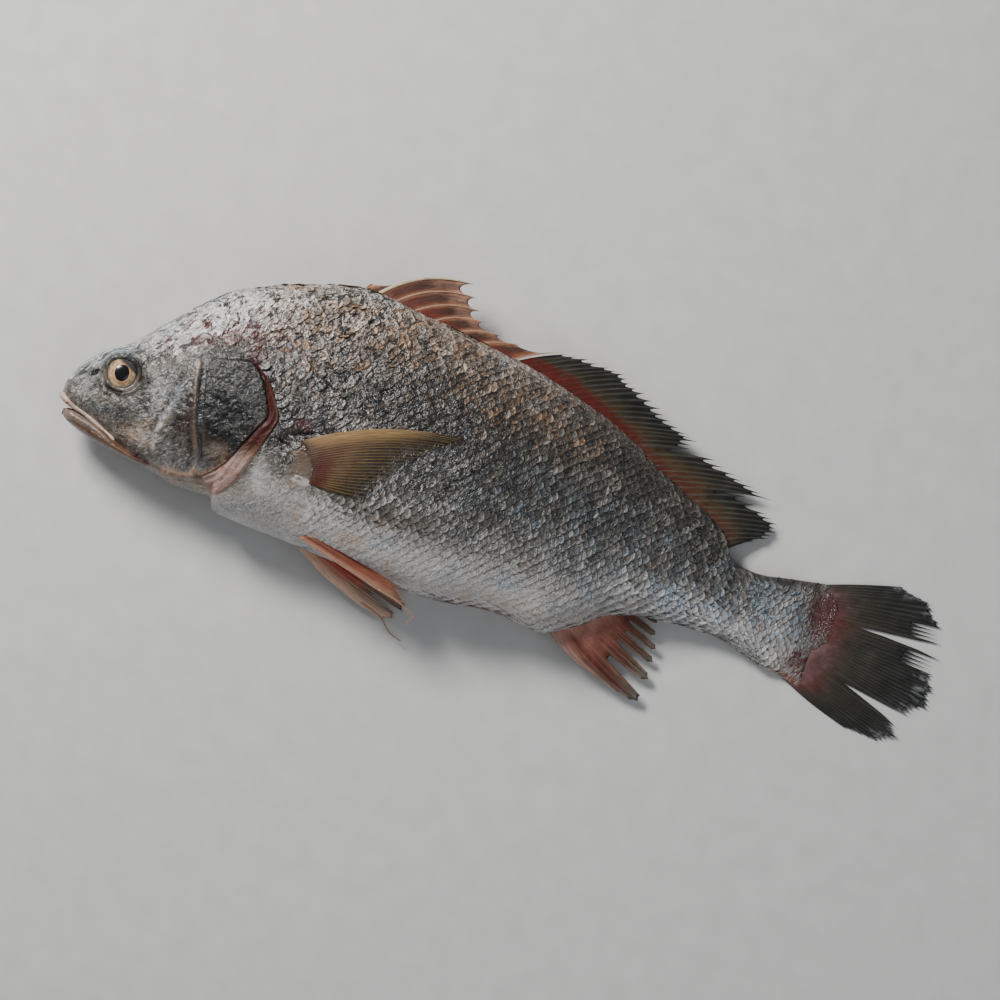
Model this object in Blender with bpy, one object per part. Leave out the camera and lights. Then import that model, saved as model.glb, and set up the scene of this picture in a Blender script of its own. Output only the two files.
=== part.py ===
"""A whole raw drum fish lying on its right flank, with its left flank up.

Metres, +Z up. In the fish's own axes x runs from the snout to the tail, y from the belly to the back,
and the floor is at height 0. The dimensions below are in millimetres, and MM turns them into metres.
Head, trunk, jaw, eyes, gill covers and fins are one piece of food, so they are joined into one solid.
"""

import math
from typing import NamedTuple

import bmesh
import bpy
from mathutils import Vector

MM = 0.001


class Section(NamedTuple):
    """One slice across the body: its place, its back and belly lines and half its thickness."""

    place: float
    back: float
    belly: float
    half_width: float


TRUNK = (
    Section(-1.8, 12.6, 5.0, 2.8),  # snout
    Section(1.0, 19.8, 1.6, 7.5),  # upper lip
    Section(8.0, 30.5, -0.8, 13.0),
    Section(18.0, 39.5, -4.5, 18.5),  # nostrils
    Section(27.0, 45.0, -8.5, 22.0),  # eyes
    Section(45.0, 63.0, -18.0, 27.5),
    Section(62.0, 80.0, -23.6, 31.5),
    Section(80.0, 94.5, -27.8, 34.5),  # nape and cheeks
    Section(101.0, 104.0, -28.2, 36.0),
    Section(104.5, 105.6, -35.0, 36.2),  # throat, behind the gill covers
    Section(112.0, 108.2, -37.0, 36.6),
    Section(157.0, 118.4, -40.6, 37.0),  # first spine of the back
    Section(190.0, 114.2, -44.0, 36.5),
    Section(244.0, 106.0, -47.8, 34.0),
    Section(283.0, 97.5, -44.2, 29.8),
    Section(312.0, 87.8, -47.4, 26.0),  # vent
    Section(333.0, 78.4, -38.6, 22.6),
    Section(350.0, 68.8, -26.0, 19.6),
    Section(375.0, 56.5, -19.6, 15.8),
    Section(402.0, 42.5, -18.4, 12.2),
    Section(414.0, 27.0, -18.7, 10.8),  # end of the fin on the back
    Section(430.0, 24.2, -21.8, 9.0),  # narrowest part of the tail stalk
    Section(450.0, 27.0, -28.3, 6.4),
    Section(474.0, 30.5, -34.0, 1.9),  # the stalk fades into the tail fin
)
LOWER_JAW = (
    Section(0.6, -1.9, -4.4, 2.4),  # lip
    Section(3.0, -1.0, -7.4, 5.2),
    Section(10.0, -1.8, -10.6, 9.0),
    Section(25.0, -5.5, -15.6, 13.0),
    Section(42.0, -12.0, -20.0, 15.0),
    Section(60.0, -17.0, -23.2, 15.0),
)
SLICE_SPACING = 12.0
SIDES_ROUND = 28
WIDEST_SHARE = 0.42  # the widest level, as a share of the depth up from the belly
BACK_BULGE = (1.8, 0.58)  # powers of the flank's curve above the widest level
BELLY_BULGE = (2.2, 0.5)  # and below it

SETTLING = 0.94  # the right flank flattens to this share of its thickness under the weight
SKULL_END = 100.0
HEAD_DROOP = 0.05  # fall of the skull's middle plane for each millimetre towards the snout

EYE_PLACE = (29.0, 27.8)
EYE_RADIUS = 9.8
EYE_BULGE = 3.0
EYE_DEPTH = 7.0

GILL_FRONT = ((76.0, 48.0), (80.0, 20.0), (86.0, -4.0), (86.0, -20.0))
GILL_REAR = ((103.0, 58.0), (119.0, 46.5), (128.5, 29.0), (123.0, 8.0), (115.0, -15.0), (103.0, -27.0))
GILL_STEPS = (12, 4)  # down the cover, and back along it
GILL_LIFT = (-0.4, 1.8)  # height over the flank at the front and the rear edge
GILL_SUNK = 3.0

FIN_STEPS = 6
WEB_SHARE = 0.5  # thickness of the webs as a share of the rays'
TAIL_REST = 1.4  # height of the tail fin's middle where it lies on the floor


class Ray(NamedTuple):
    """One fin ray seen from the side, and how far the web behind it reaches."""

    root: tuple
    tip: tuple
    bow: float = 0.0  # sideways bend, as a share of the ray's length
    web: float = 0.85  # end of the web between this ray and the next, as a share of their length


SPINY_FIN = (
    Ray((151.0, 110.0), (156.0, 122.6), 0.05, 0.55),
    Ray((156.0, 110.0), (215.5, 140.3), 0.13, 0.93),
    Ray((166.0, 108.0), (220.0, 133.0), 0.13, 0.94),
    Ray((178.0, 107.0), (224.5, 126.0), 0.12, 0.93),
    Ray((190.0, 105.0), (229.5, 120.5), 0.11, 0.95),
    Ray((203.0, 102.0), (241.0, 115.7), 0.1, 0.95),
    Ray((218.0, 100.0), (252.5, 113.5), 0.08, 0.7),
    Ray((243.0, 98.0), (277.0, 116.5), 0.05),
)
SOFT_FIN_BASE = ((246.0, 99.0), (270.0, 94.0), (300.0, 85.0), (330.0, 73.0), (370.0, 52.0), (405.0, 30.0))
SOFT_FIN_TIPS = (
    (282.0, 117.0, 0.85),  # the tip of each ray, and how far the web behind it reaches
    (295.0, 118.0, 0.85),
    (308.0, 116.5, 0.9),
    (318.0, 115.5, 0.9),
    (323.0, 111.0, 0.9),
    (333.0, 108.0, 0.85),
    (345.0, 102.0, 0.85),
    (353.0, 96.5, 0.85),
    (366.0, 92.0, 0.85),
    (373.0, 89.5, 0.8),
    (369.0, 84.0, 0.55),
    (386.0, 82.0, 0.8),
    (400.0, 77.0, 0.85),
    (413.0, 73.0, 0.85),
    (426.0, 69.0, 0.5),
    (409.0, 66.5, 0.8),
    (425.0, 60.0, 0.85),
    (433.0, 56.0, 0.9),
    (434.0, 51.0, 0.85),
    (430.0, 46.0, 0.8),
    (416.0, 39.0, 1.0),
)
ANAL_FIN = (
    Ray((306.0, -34.0), (361.0, -65.2), -0.08, 0.8),
    Ray((315.0, -32.0), (381.0, -70.5), -0.04, 0.85),
    Ray((322.0, -30.0), (384.0, -65.0), -0.02, 0.72),
    Ray((329.0, -28.0), (384.0, -54.5), 0.0, 0.7),
    Ray((335.0, -25.0), (384.0, -45.0), 0.0, 0.72),
    Ray((341.0, -21.0), (383.0, -36.5), 0.0, 0.7),
    Ray((346.0, -17.0), (381.0, -29.5), 0.0, 0.6),
    Ray((350.0, -13.0), (380.0, -23.2)),
)
TAIL_FIN = (
    Ray((452.0, 23.0), (516.0, 42.0), 0.02, 0.98),
    Ray((454.0, 19.0), (534.0, 37.5), 0.02, 0.97),
    Ray((455.0, 15.0), (546.0, 24.8), 0.02, 0.8),
    Ray((456.0, 11.0), (548.0, 15.5), 0.01, 0.38),
    Ray((456.0, 7.0), (551.0, 6.0), 0.02, 0.78),
    Ray((456.0, 3.0), (549.0, -3.5), 0.0, 0.97),
    Ray((456.0, -1.0), (552.0, -13.5), 0.0, 0.97),
    Ray((456.0, -5.0), (552.0, -24.5), 0.0, 0.95),
    Ray((456.0, -9.0), (541.0, -31.0), 0.0, 0.5),
    Ray((456.0, -13.0), (536.0, -39.5), 0.0, 0.95),
    Ray((455.0, -17.0), (541.0, -46.5), -0.02, 0.96),
    Ray((454.0, -21.0), (529.0, -51.5), -0.02, 0.97),
    Ray((452.0, -26.0), (508.0, -49.5), -0.03),
)
NEAR_PELVIC_FIN = (
    Ray((161.0, -33.0), (238.0, -63.5), 0.02, 0.9),
    Ray((163.0, -31.0), (234.5, -54.5), 0.02, 0.96),
    Ray((165.0, -29.5), (234.0, -51.0), 0.02, 0.96),
    Ray((167.0, -28.0), (231.0, -48.0), 0.02, 0.96),
    Ray((169.0, -26.5), (224.0, -44.0), 0.02, 0.96),
    Ray((171.0, -25.5), (213.0, -40.0), 0.02),
)
FAR_PELVIC_FIN = (
    Ray((158.0, -34.0), (235.0, -77.8), -0.05, 0.8),
    Ray((160.0, -33.0), (226.5, -65.0), -0.04, 0.95),
    Ray((163.0, -32.0), (233.0, -58.5), -0.02, 0.95),
    Ray((166.0, -31.0), (228.0, -52.0), 0.0),
)
PECTORAL_FIN = (
    Ray((143.0, 19.5), (241.0, 49.8), 0.07, 0.97),
    Ray((148.0, 16.5), (233.0, 45.5), 0.06, 0.97),
    Ray((151.5, 12.5), (223.0, 38.0), 0.05, 0.97),
    Ray((154.0, 8.5), (212.0, 28.5), 0.03, 0.97),
    Ray((155.5, 4.5), (203.0, 18.0), 0.0, 0.97),
    Ray((156.0, 0.5), (196.0, 7.5), -0.02, 0.97),
    Ray((155.0, -2.5), (189.0, -3.5), -0.03),
)
FIN_LIFT = (-2.5, 1.2)  # a fin that lies on the flank rises out of it from its root


def smooth(knots, place):
    """The value at place of the curve through knots of (place, value), which never overshoots a knot."""
    if place <= knots[0][0]:
        return knots[0][1]
    if place >= knots[-1][0]:
        return knots[-1][1]
    slopes = [(b[1] - a[1]) / (b[0] - a[0]) for a, b in zip(knots, knots[1:])]
    n = next(i for i in range(len(slopes)) if place <= knots[i + 1][0])
    slopes = [slopes[0], *slopes, slopes[-1]]
    turns = []
    for before, after in (slopes[n : n + 2], slopes[n + 1 : n + 3]):
        turns.append(2.0 * before * after / (before + after) if before * after > 0.0 else 0.0)
    span = knots[n + 1][0] - knots[n][0]
    t = (place - knots[n][0]) / span
    blend = t * t * (3.0 - 2.0 * t)
    level = knots[n][1] * (1.0 - blend) + knots[n + 1][1] * blend
    return level + span * t * (1.0 - t) * ((1.0 - t) * turns[0] - t * turns[1])


def along_line(points, share):
    """The point a share of the way along the smooth line through points."""
    spans = [math.dist(a, b) for a, b in zip(points, points[1:])]
    places = [sum(spans[:n]) / sum(spans) for n in range(len(points))]
    return tuple(smooth([*zip(places, (p[axis] for p in points))], share) for axis in (0, 1))


def between(pair, share):
    """The value a share of the way from the first of a pair to the second."""
    return pair[0] + (pair[1] - pair[0]) * share


def outline(sections, x):
    """The back line, belly line and half thickness of a row of sections at a place along it."""
    return tuple(smooth([(s.place, s[n]) for s in sections], x) for n in (1, 2, 3))


def flank(sections, x, y):
    """Half the thickness of the body at a point seen from the side."""
    back, belly, half_width = outline(sections, x)
    widest = between((belly, back), WIDEST_SHARE)
    edge, (power, root) = (back, BACK_BULGE) if y > widest else (belly, BELLY_BULGE)
    level = min((y - widest) / (edge - widest), 1.0)
    return half_width * (1.0 - level**power) ** root


def keel(x):
    """Height of the fish's middle plane above the floor."""
    settled = SETTLING * outline(TRUNK, max(x, SKULL_END))[2]
    return max(settled - HEAD_DROOP * max(0.0, SKULL_END - x), TAIL_REST)


def new_object(name, build, material):
    """An object in metres, whose closed mesh in millimetres is made by build."""
    bm = bmesh.new()
    build(bm)
    bmesh.ops.recalc_face_normals(bm, faces=bm.faces)
    bmesh.ops.scale(bm, vec=(MM, MM, MM), verts=bm.verts)
    mesh = bpy.data.meshes.new(name)
    bm.to_mesh(mesh)
    bm.free()
    mesh.shade_smooth()
    mesh.materials.append(material)
    made = bpy.data.objects.new(name, mesh)
    bpy.context.collection.objects.link(made)
    return made


def loft(bm, sections):
    """Rings across the body bridged into a closed skin, flattened where it lies on the floor."""
    places = [sections[-1].place]
    for a, b in zip(sections, sections[1:]):
        count = math.ceil((b.place - a.place) / SLICE_SPACING)
        places += [between((a.place, b.place), n / count) for n in range(count)]
    rings = []
    for x in sorted(places):
        back, belly, _ = outline(sections, x)
        widest = between((belly, back), WIDEST_SHARE)
        ring = []
        for n in range(SIDES_ROUND):
            turn = 2.0 * math.pi * (n + 0.5) / SIDES_ROUND
            rise = math.sin(turn)
            y = widest + rise * (back - widest if rise > 0.0 else widest - belly)
            z = keel(x) + math.copysign(flank(sections, x, y), math.cos(turn))
            ring.append(bm.verts.new((x, y, max(z, 0.0))))
        rings.append([bm.edges.new((a, b)) for a, b in zip(ring, ring[1:] + ring[:1])])
    for a, b in zip(rings, rings[1:]):
        bmesh.ops.bridge_loops(bm, edges=a + b)
    bmesh.ops.contextual_create(bm, geom=rings[0])
    bmesh.ops.contextual_create(bm, geom=rings[-1])


def plate(bm, upper, lower):
    """A closed plate between two grids of points with the same rows and columns."""
    grids = [[[bm.verts.new(point) for point in row] for row in grid] for grid in (upper, lower)]
    rows = range(len(upper) - 1)
    columns = range(len(upper[0]) - 1)
    for grid in grids:
        for r in rows:
            for c in columns:
                bm.faces.new((grid[r][c], grid[r][c + 1], grid[r + 1][c + 1], grid[r + 1][c]))
    rims = []
    for grid in grids:
        right = [row[-1] for row in grid[1:]]
        left = [row[0] for row in grid[-2:0:-1]]
        rims.append(grid[0] + right + grid[-1][-2::-1] + left)
    corners = [*zip(*rims)]
    for (a, b), (c, d) in zip(corners, corners[1:] + corners[:1]):
        bm.faces.new((a, b, d, c))


def eye(bm, side):
    """A flattened eyeball that bulges out of the head."""
    x, y = EYE_PLACE
    half = (EYE_BULGE + EYE_DEPTH) / 2.0
    bmesh.ops.create_uvsphere(bm, u_segments=16, v_segments=8, radius=EYE_RADIUS)
    bmesh.ops.scale(bm, vec=(1.0, 1.0, half / EYE_RADIUS), verts=bm.verts)
    height = keel(x) + side * (flank(TRUNK, x, y) + EYE_BULGE - half)
    bmesh.ops.translate(bm, vec=(x, y, height), verts=bm.verts)


def gill_cover(bm, side):
    """The plate over the gills, which leaves the cheek flush and stands off the flank at its rear edge."""
    rows, columns = GILL_STEPS
    grids = ([], [])
    for r in range(rows + 1):
        ends = [*zip(along_line(GILL_FRONT, r / rows), along_line(GILL_REAR, r / rows))]
        for grid in grids:
            grid.append([])
        for c in range(columns + 1):
            share = c / columns
            x, y = (between(pair, share) for pair in ends)
            skin = flank(TRUNK, x, y)
            for grid, offset in zip(grids, (between(GILL_LIFT, share), -GILL_SUNK)):
                z = keel(x) + side * (skin + offset)
                grid[-1].append((x, y, max(z, 0.0)))
    plate(bm, *grids)


def ray_point(ray, share):
    """The point a share of the way out along a bowed ray."""
    across = Vector(ray.tip) - Vector(ray.root)
    bend = across.orthogonal() * ray.bow * 4.0 * share * (1.0 - share)
    return Vector(ray.root) + across * share + bend


def fin(bm, rays, thickness, height):
    """A fan of rays with thinner webs between them, which end short of the rays' tips.

    thickness is half a ray's, at its root and its tip, and height(x, y, share) is the fin's middle.
    """
    grids = ([], [])
    for step in range(FIN_STEPS + 1):
        rows = ([], [])
        for n in range(2 * len(rays) - 1):
            ray, after = rays[n // 2], rays[(n + 1) // 2]
            on_web = n % 2 == 1
            share = step / FIN_STEPS * (ray.web if on_web else 1.0)
            x, y = (ray_point(ray, share) + ray_point(after, share)) / 2.0
            half = between(thickness, share) * (WEB_SHARE if on_web else 1.0)
            middle = height(x, y, share)
            for row, side in zip(rows, (1.0, -1.0)):
                row.append((x, y, max(middle + side * half, 0.0)))
        for grid, row in zip(grids, rows):
            grid.append(row)
    plate(bm, *grids)


def soft_rays():
    """The soft rays of the back, spread evenly along their base."""
    last = len(SOFT_FIN_TIPS) - 1
    rays = []
    for n, (x, y, web) in enumerate(SOFT_FIN_TIPS):
        rays.append(Ray(along_line(SOFT_FIN_BASE, n / last), (x, y), 0.04, web))
    return rays


def hanging(droop):
    """The height of a fin that leaves the middle plane and sinks by a share of its height at the tips."""
    return lambda x, y, share: keel(x) * (1.0 - droop * share**2)


def on_flank(side):
    """The height of a fin that lies along one flank, rising out of it near its root."""

    def height(x, y, share):
        lift = between(FIN_LIFT, min(4.0 * share, 1.0))
        return keel(x) + side * (flank(TRUNK, x, y) + lift)

    return height


def past_belly(start, fall):
    """The height of a fin that starts a little off the middle plane and falls towards the floor."""
    return lambda x, y, share: keel(x) + start - fall * share**1.5


def principled(name, colour, roughness):
    """A named material with one colour and roughness."""
    material = bpy.data.materials.new(name)
    material.use_nodes = True
    shader = material.node_tree.nodes["Principled BSDF"]
    shader.inputs["Base Color"].default_value = (*colour, 1.0)
    shader.inputs["Roughness"].default_value = roughness
    shader.inputs["Metallic"].default_value = 0.0
    return material


def join(fish, pieces):
    """Unites the fish with its pieces, which stay in the file as guides."""
    for piece in pieces:
        piece.hide_render = True
        piece.display_type = "WIRE"
        union = fish.modifiers.new(f"join_{piece.name}", "BOOLEAN")
        union.operation = "UNION"
        union.solver = "EXACT"
        union.material_mode = "TRANSFER"
        union.object = piece


def centre(objects):
    """Moves the meshes together, so that the origin is below the middle of their common box."""
    corners = [v.co for obj in objects for v in obj.data.vertices]
    middle = [(min(c[axis] for c in corners) + max(c[axis] for c in corners)) / 2.0 for axis in (0, 1)]
    for obj in objects:
        for vertex in obj.data.vertices:
            vertex.co -= Vector((*middle, 0.0))


def main():
    """Builds the fish."""
    for old in list(bpy.data.objects):
        bpy.data.objects.remove(old, do_unlink=True)
    skin = principled("skin", (0.22, 0.2, 0.18), 0.3)
    membrane = principled("fin", (0.24, 0.13, 0.08), 0.35)
    iris = principled("eye", (0.35, 0.22, 0.08), 0.1)

    fish = new_object("fish", lambda bm: loft(bm, TRUNK), skin)
    pieces = [new_object("lower_jaw", lambda bm: loft(bm, LOWER_JAW), skin)]
    for side, name in ((1.0, "left"), (-1.0, "right")):
        pieces.append(new_object(f"{name}_eye", lambda bm: eye(bm, side), iris))
        pieces.append(new_object(f"{name}_gill_cover", lambda bm: gill_cover(bm, side), skin))
    fins = (
        ("spiny_fin", SPINY_FIN, (1.6, 0.7), hanging(0.15)),
        ("soft_fin", soft_rays(), (1.1, 0.45), hanging(0.35)),
        ("anal_fin", ANAL_FIN, (1.4, 0.5), hanging(0.5)),
        ("tail_fin", TAIL_FIN, (1.4, 0.5), hanging(0.0)),
        ("left_pelvic_fin", NEAR_PELVIC_FIN, (1.4, 0.5), past_belly(10.0, 14.0)),
        ("right_pelvic_fin", FAR_PELVIC_FIN, (1.4, 0.5), past_belly(-8.0, 22.0)),
        ("left_pectoral_fin", PECTORAL_FIN, (1.5, 0.7), on_flank(1.0)),
    )
    for name, rays, thickness, height in fins:
        pieces.append(new_object(name, lambda bm: fin(bm, rays, thickness, height), membrane))
    centre([fish, *pieces])
    join(fish, pieces)


main()
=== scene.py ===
"""The looks of a whole raw drum fish lying on its right flank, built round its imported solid.

Lengths in the tables are millimetres in the fish's own axes: x runs from the snout to the tail, y from
the belly to the back and z up from the floor. The class Axes turns them into the frame's metres.
"""

import logging
import math
from dataclasses import dataclass, field
from enum import Enum
from typing import Callable

import bpy
import numpy as np
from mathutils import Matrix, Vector


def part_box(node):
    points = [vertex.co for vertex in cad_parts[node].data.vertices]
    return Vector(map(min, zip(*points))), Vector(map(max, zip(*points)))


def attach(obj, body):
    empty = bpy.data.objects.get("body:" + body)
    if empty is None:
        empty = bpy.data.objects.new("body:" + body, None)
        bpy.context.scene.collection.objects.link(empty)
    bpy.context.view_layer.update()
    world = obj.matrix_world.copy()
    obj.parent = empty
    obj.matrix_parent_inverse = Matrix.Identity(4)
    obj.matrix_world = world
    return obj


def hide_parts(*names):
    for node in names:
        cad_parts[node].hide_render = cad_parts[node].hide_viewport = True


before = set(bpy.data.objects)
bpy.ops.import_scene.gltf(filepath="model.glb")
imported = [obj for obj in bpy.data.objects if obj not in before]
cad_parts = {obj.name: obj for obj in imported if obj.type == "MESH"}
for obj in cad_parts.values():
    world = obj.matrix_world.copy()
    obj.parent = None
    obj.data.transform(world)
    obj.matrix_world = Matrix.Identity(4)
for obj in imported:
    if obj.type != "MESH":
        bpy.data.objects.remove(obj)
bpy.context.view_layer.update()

logging.basicConfig(level=logging.INFO, format="%(message)s")
log = logging.getLogger("fish")

NODE = "fish"
BODY = "root"
SEED = 7
Array = np.ndarray
Line = tuple[tuple[float, float], ...]


class Side(Enum):
    """The two flanks: the left one faces up and the right one lies on the floor."""

    LEFT = 1.0
    RIGHT = -1.0


class Slot(Enum):
    """The record's material slots."""

    SKIN = "skin"
    FIN = "fin"
    EYE = "eye"


# ---------------------------------------------------------------- measures and curves


@dataclass(frozen=True)
class Axes:
    """Turns the fish's own millimetres into the frame's metres.

    length is the fish's length in millimetres, and snout and keel the places of the box's low corner.
    """

    length: float = 553.8
    snout: float = -1.8
    lowest: float = -77.8

    def metres(self, points: Array) -> Array:
        """Points in the frame.

        Args:
            points: one row of x, y and z in millimetres for each point.

        Returns:
            The same points in metres.
        """
        low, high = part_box(NODE)
        unit = (high.x - low.x) / self.length
        return np.array(low) + (np.asarray(points, float) - (self.snout, self.lowest, 0.0)) * unit


AXES = Axes()


def eased(knots: Line, at: Array) -> Array:
    """The values at some places of the smooth curve through knots, which never overshoots a knot.

    Args:
        knots: pairs of place and value, in order.
        at: places.

    Returns:
        One value for each place.
    """
    place, value = np.array(knots, float).T
    at = np.clip(np.asarray(at, float), place[0], place[-1])
    slope = np.diff(value) / np.diff(place)
    slope = np.concatenate((slope[:1], slope, slope[-1:]))
    before, after = slope[:-1], slope[1:]
    same = before * after > 0.0
    turn = np.where(same, 2.0 * before * after / np.where(same, before + after, 1.0), 0.0)
    n = np.clip(np.searchsorted(place, at, side="right") - 1, 0, len(place) - 2)
    span = place[n + 1] - place[n]
    t = (at - place[n]) / span
    blend = t * t * (3.0 - 2.0 * t)
    level = value[n] * (1.0 - blend) + value[n + 1] * blend
    return level + span * t * (1.0 - t) * ((1.0 - t) * turn[n] - t * turn[n + 1])


def along(line: Line, share: Array) -> Array:
    """Points some shares of the way along the smooth line through a few points.

    Args:
        line: points of two or three numbers.
        share: shares of its length, from 0 to 1.

    Returns:
        One row for each share.
    """
    points = np.array(line, float)
    run = np.concatenate(([0.0], np.cumsum(np.linalg.norm(np.diff(points, axis=0), axis=1))))
    run /= run[-1]
    return np.stack([eased(tuple(zip(run, axis)), share) for axis in points.T], axis=-1)


def ramped(low: float, high: float, at: Array) -> Array:
    """A smooth step from 0 at low to 1 at high, or the other way where low is the larger."""
    t = np.clip((np.asarray(at, float) - low) / (high - low), 0.0, 1.0)
    return t * t * (3.0 - 2.0 * t)


def from_line(line: Line, x: Array, y: Array) -> tuple[Array, Array, Array]:
    """How points lie to a smooth line.

    Args:
        line: the line's points.
        x: places along the fish.
        y: heights up the fish.

    Returns:
        The distance, which is negative to the right of the line's direction, the share along the line of
        the nearest spot, and 1 there that fades to 0 past the line's ends.
    """
    share = np.linspace(0.0, 1.0, 64)
    spots = along(line, share)
    ahead = np.gradient(spots, axis=0)
    ahead /= np.linalg.norm(ahead, axis=1)[:, None]
    flat_x, flat_y = np.ravel(x), np.ravel(y)
    away = np.hypot(flat_x[:, None] - spots[:, 0], flat_y[:, None] - spots[:, 1])
    near = away.argmin(axis=1)
    dx, dy = flat_x - spots[near, 0], flat_y - spots[near, 1]
    across = ahead[near, 0] * dy - ahead[near, 1] * dx
    distance = np.where(across < 0.0, -1.0, 1.0) * away[np.arange(len(near)), near]
    ends = np.minimum(share[near], 1.0 - share[near])
    shape = np.shape(x)
    return distance.reshape(shape), share[near].reshape(shape), ramped(0.0, 0.08, ends).reshape(shape)


def ripple(x: Array, y: Array, reach: float, phase: float) -> Array:
    """A soft uneven field between about -1 and 1, whose waves are reach long."""
    a, b = np.asarray(x, float) / reach, np.asarray(y, float) / reach
    total = np.sin(5.1 * a + 2.3 * b + phase) + np.sin(-3.7 * a + 4.4 * b + 1.7 * phase + 1.0)
    return (total + np.sin(2.2 * a + 6.3 * b + 2.9 * phase) + np.sin(7.4 * a - 1.9 * b + phase**2)) / 3.2


# ---------------------------------------------------------------- the body's form


@dataclass(frozen=True)
class Loft:
    """A run of sections across the body: place, back line, belly line and half thickness."""

    sections: tuple[tuple[float, float, float, float], ...]
    widest_share: float = 0.42
    back_bulge: tuple[float, float] = (1.8, 0.58)
    belly_bulge: tuple[float, float] = (2.2, 0.5)

    def lines(self, x: Array) -> tuple[Array, Array, Array]:
        """The back line, belly line and half thickness at places along the fish."""
        back, belly, half = (eased(tuple((s[0], s[n]) for s in self.sections), x) for n in (1, 2, 3))
        return back, belly, half

    def flank(self, x: Array, y: Array) -> Array:
        """Half the thickness at points seen from the side."""
        back, belly, half = self.lines(x)
        widest = belly + self.widest_share * (back - belly)
        upper = y > widest
        level = np.clip((y - widest) / np.where(upper, back - widest, belly - widest), 0.0, 1.0)
        power = np.where(upper, self.back_bulge[0], self.belly_bulge[0])
        root = np.where(upper, self.back_bulge[1], self.belly_bulge[1])
        return half * (1.0 - level**power) ** root

    def share_up(self, x: Array, y: Array) -> Array:
        """Heights as shares of the depth, 0 at the belly and 1 at the back."""
        back, belly, _ = self.lines(x)
        return np.clip((y - belly) / (back - belly), 0.0, 1.0)


TRUNK = Loft(
    (
        (-1.8, 12.6, 5.0, 2.8),
        (1.0, 19.8, 1.6, 7.5),
        (8.0, 30.5, -0.8, 13.0),
        (18.0, 39.5, -4.5, 18.5),
        (27.0, 45.0, -8.5, 22.0),
        (45.0, 63.0, -18.0, 27.5),
        (62.0, 80.0, -23.6, 31.5),
        (80.0, 94.5, -27.8, 34.5),
        (101.0, 104.0, -28.2, 36.0),
        (104.5, 105.6, -35.0, 36.2),
        (112.0, 108.2, -37.0, 36.6),
        (157.0, 118.4, -40.6, 37.0),
        (190.0, 114.2, -44.0, 36.5),
        (244.0, 106.0, -47.8, 34.0),
        (283.0, 97.5, -44.2, 29.8),
        (312.0, 87.8, -47.4, 26.0),
        (333.0, 78.4, -38.6, 22.6),
        (350.0, 68.8, -26.0, 19.6),
        (375.0, 56.5, -19.6, 15.8),
        (402.0, 42.5, -18.4, 12.2),
        (414.0, 27.0, -18.7, 10.8),
        (430.0, 24.2, -21.8, 9.0),
        (450.0, 27.0, -28.3, 6.4),
        (474.0, 30.5, -34.0, 0.2),
    )
)
JAW = Loft(
    (
        (2.6, -2.4, -6.6, 3.6),
        (4.6, -1.4, -8.6, 5.9),
        (10.0, -1.8, -11.2, 9.0),
        (25.0, -5.5, -16.4, 13.0),
        (42.0, -12.0, -20.0, 15.0),
        (54.0, -15.5, -21.6, 15.5),
        (66.0, -17.0, -21.8, 12.0),
    )
)
EYE_PLACE = (29.8, 27.8)
NOSTRIL = (14.0, 23.6)
PREOPERCLE: Line = ((71.6, 52.0), (73.0, 44.0), (74.6, 35.0), (77.3, 23.4), (79.3, 13.6), (84.3, 0.5), (88.2, -8.8), (87.7, -17.3), (82.5, -21.0))
CHEEK_CREST: Line = ((69.0, 38.0), (67.0, 29.0), (63.0, 11.0), (60.0, -4.0), (62.0, -14.0))
SUBORBITAL: Line = ((22.0, 12.0), (32.0, 14.0), (42.0, 20.0), (47.0, 30.0))
GILL_REAR: Line = ((101.0, 59.0), (111.0, 51.0), (117.5, 41.0), (122.0, 29.0), (118.0, 20.0), (112.0, 8.0), (104.0, -7.0), (92.0, -18.0))
GILL_FRONT: Line = ((78.0, 54.0), (77.5, 44.0), (79.0, 32.0), (83.0, 17.0), (87.0, 3.0), (89.5, -10.0), (88.0, -18.0))
MEMBRANE_EDGE: Line = ((97.0, 63.0), (107.0, 56.0), (117.0, 48.5), (123.5, 39.0), (128.5, 28.5), (124.5, 13.0), (119.5, -1.5), (115.0, -15.0), (108.0, -24.5), (101.5, -28.5))
LIP_LINE: Line = ((0.0, 3.4), (8.0, 0.2), (20.0, -3.4), (28.0, -7.6), (37.5, -12.4))
THROAT_FOLDS: tuple[Line, ...] = (
    ((46.0, -16.5), (60.0, -19.5), (76.0, -21.5), (92.0, -19.0), (104.0, -10.0)),
    ((50.0, -19.0), (64.0, -22.0), (80.0, -23.8), (96.0, -21.5), (108.0, -11.0)),
    ((64.0, -24.0), (80.0, -26.0), (96.0, -25.0), (107.0, -18.0), (114.0, -6.0)),
)
PAD = (148.5, 8.5, 10.0, 12.5)
AXIL = (142.5, 27.0, 9.5, 8.5)
SLIT: Line = ((134.0, 19.0), (138.0, 20.8), (143.0, 23.0), (149.0, 24.8), (153.0, 25.6))


def slit(x: Array, y: Array) -> Array:
    """How deep in the nostril points are, from 0 to 1."""
    dx, dy = np.asarray(x) - NOSTRIL[0], np.asarray(y) - NOSTRIL[1]
    run, across = dx * 0.66 + dy * 0.75, dx * 0.75 - dy * 0.66
    return np.exp(-((run / 3.0) ** 4) - (across / 1.25) ** 2)


def arc_round(middle: tuple[float, float], radius: float, low: float, high: float) -> Line:
    """Points on an arc round a spot, between two angles in degrees."""
    turns = np.radians(np.linspace(low, high, 9))
    return tuple((middle[0] + radius * math.cos(t), middle[1] + radius * math.sin(t)) for t in turns)


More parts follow.
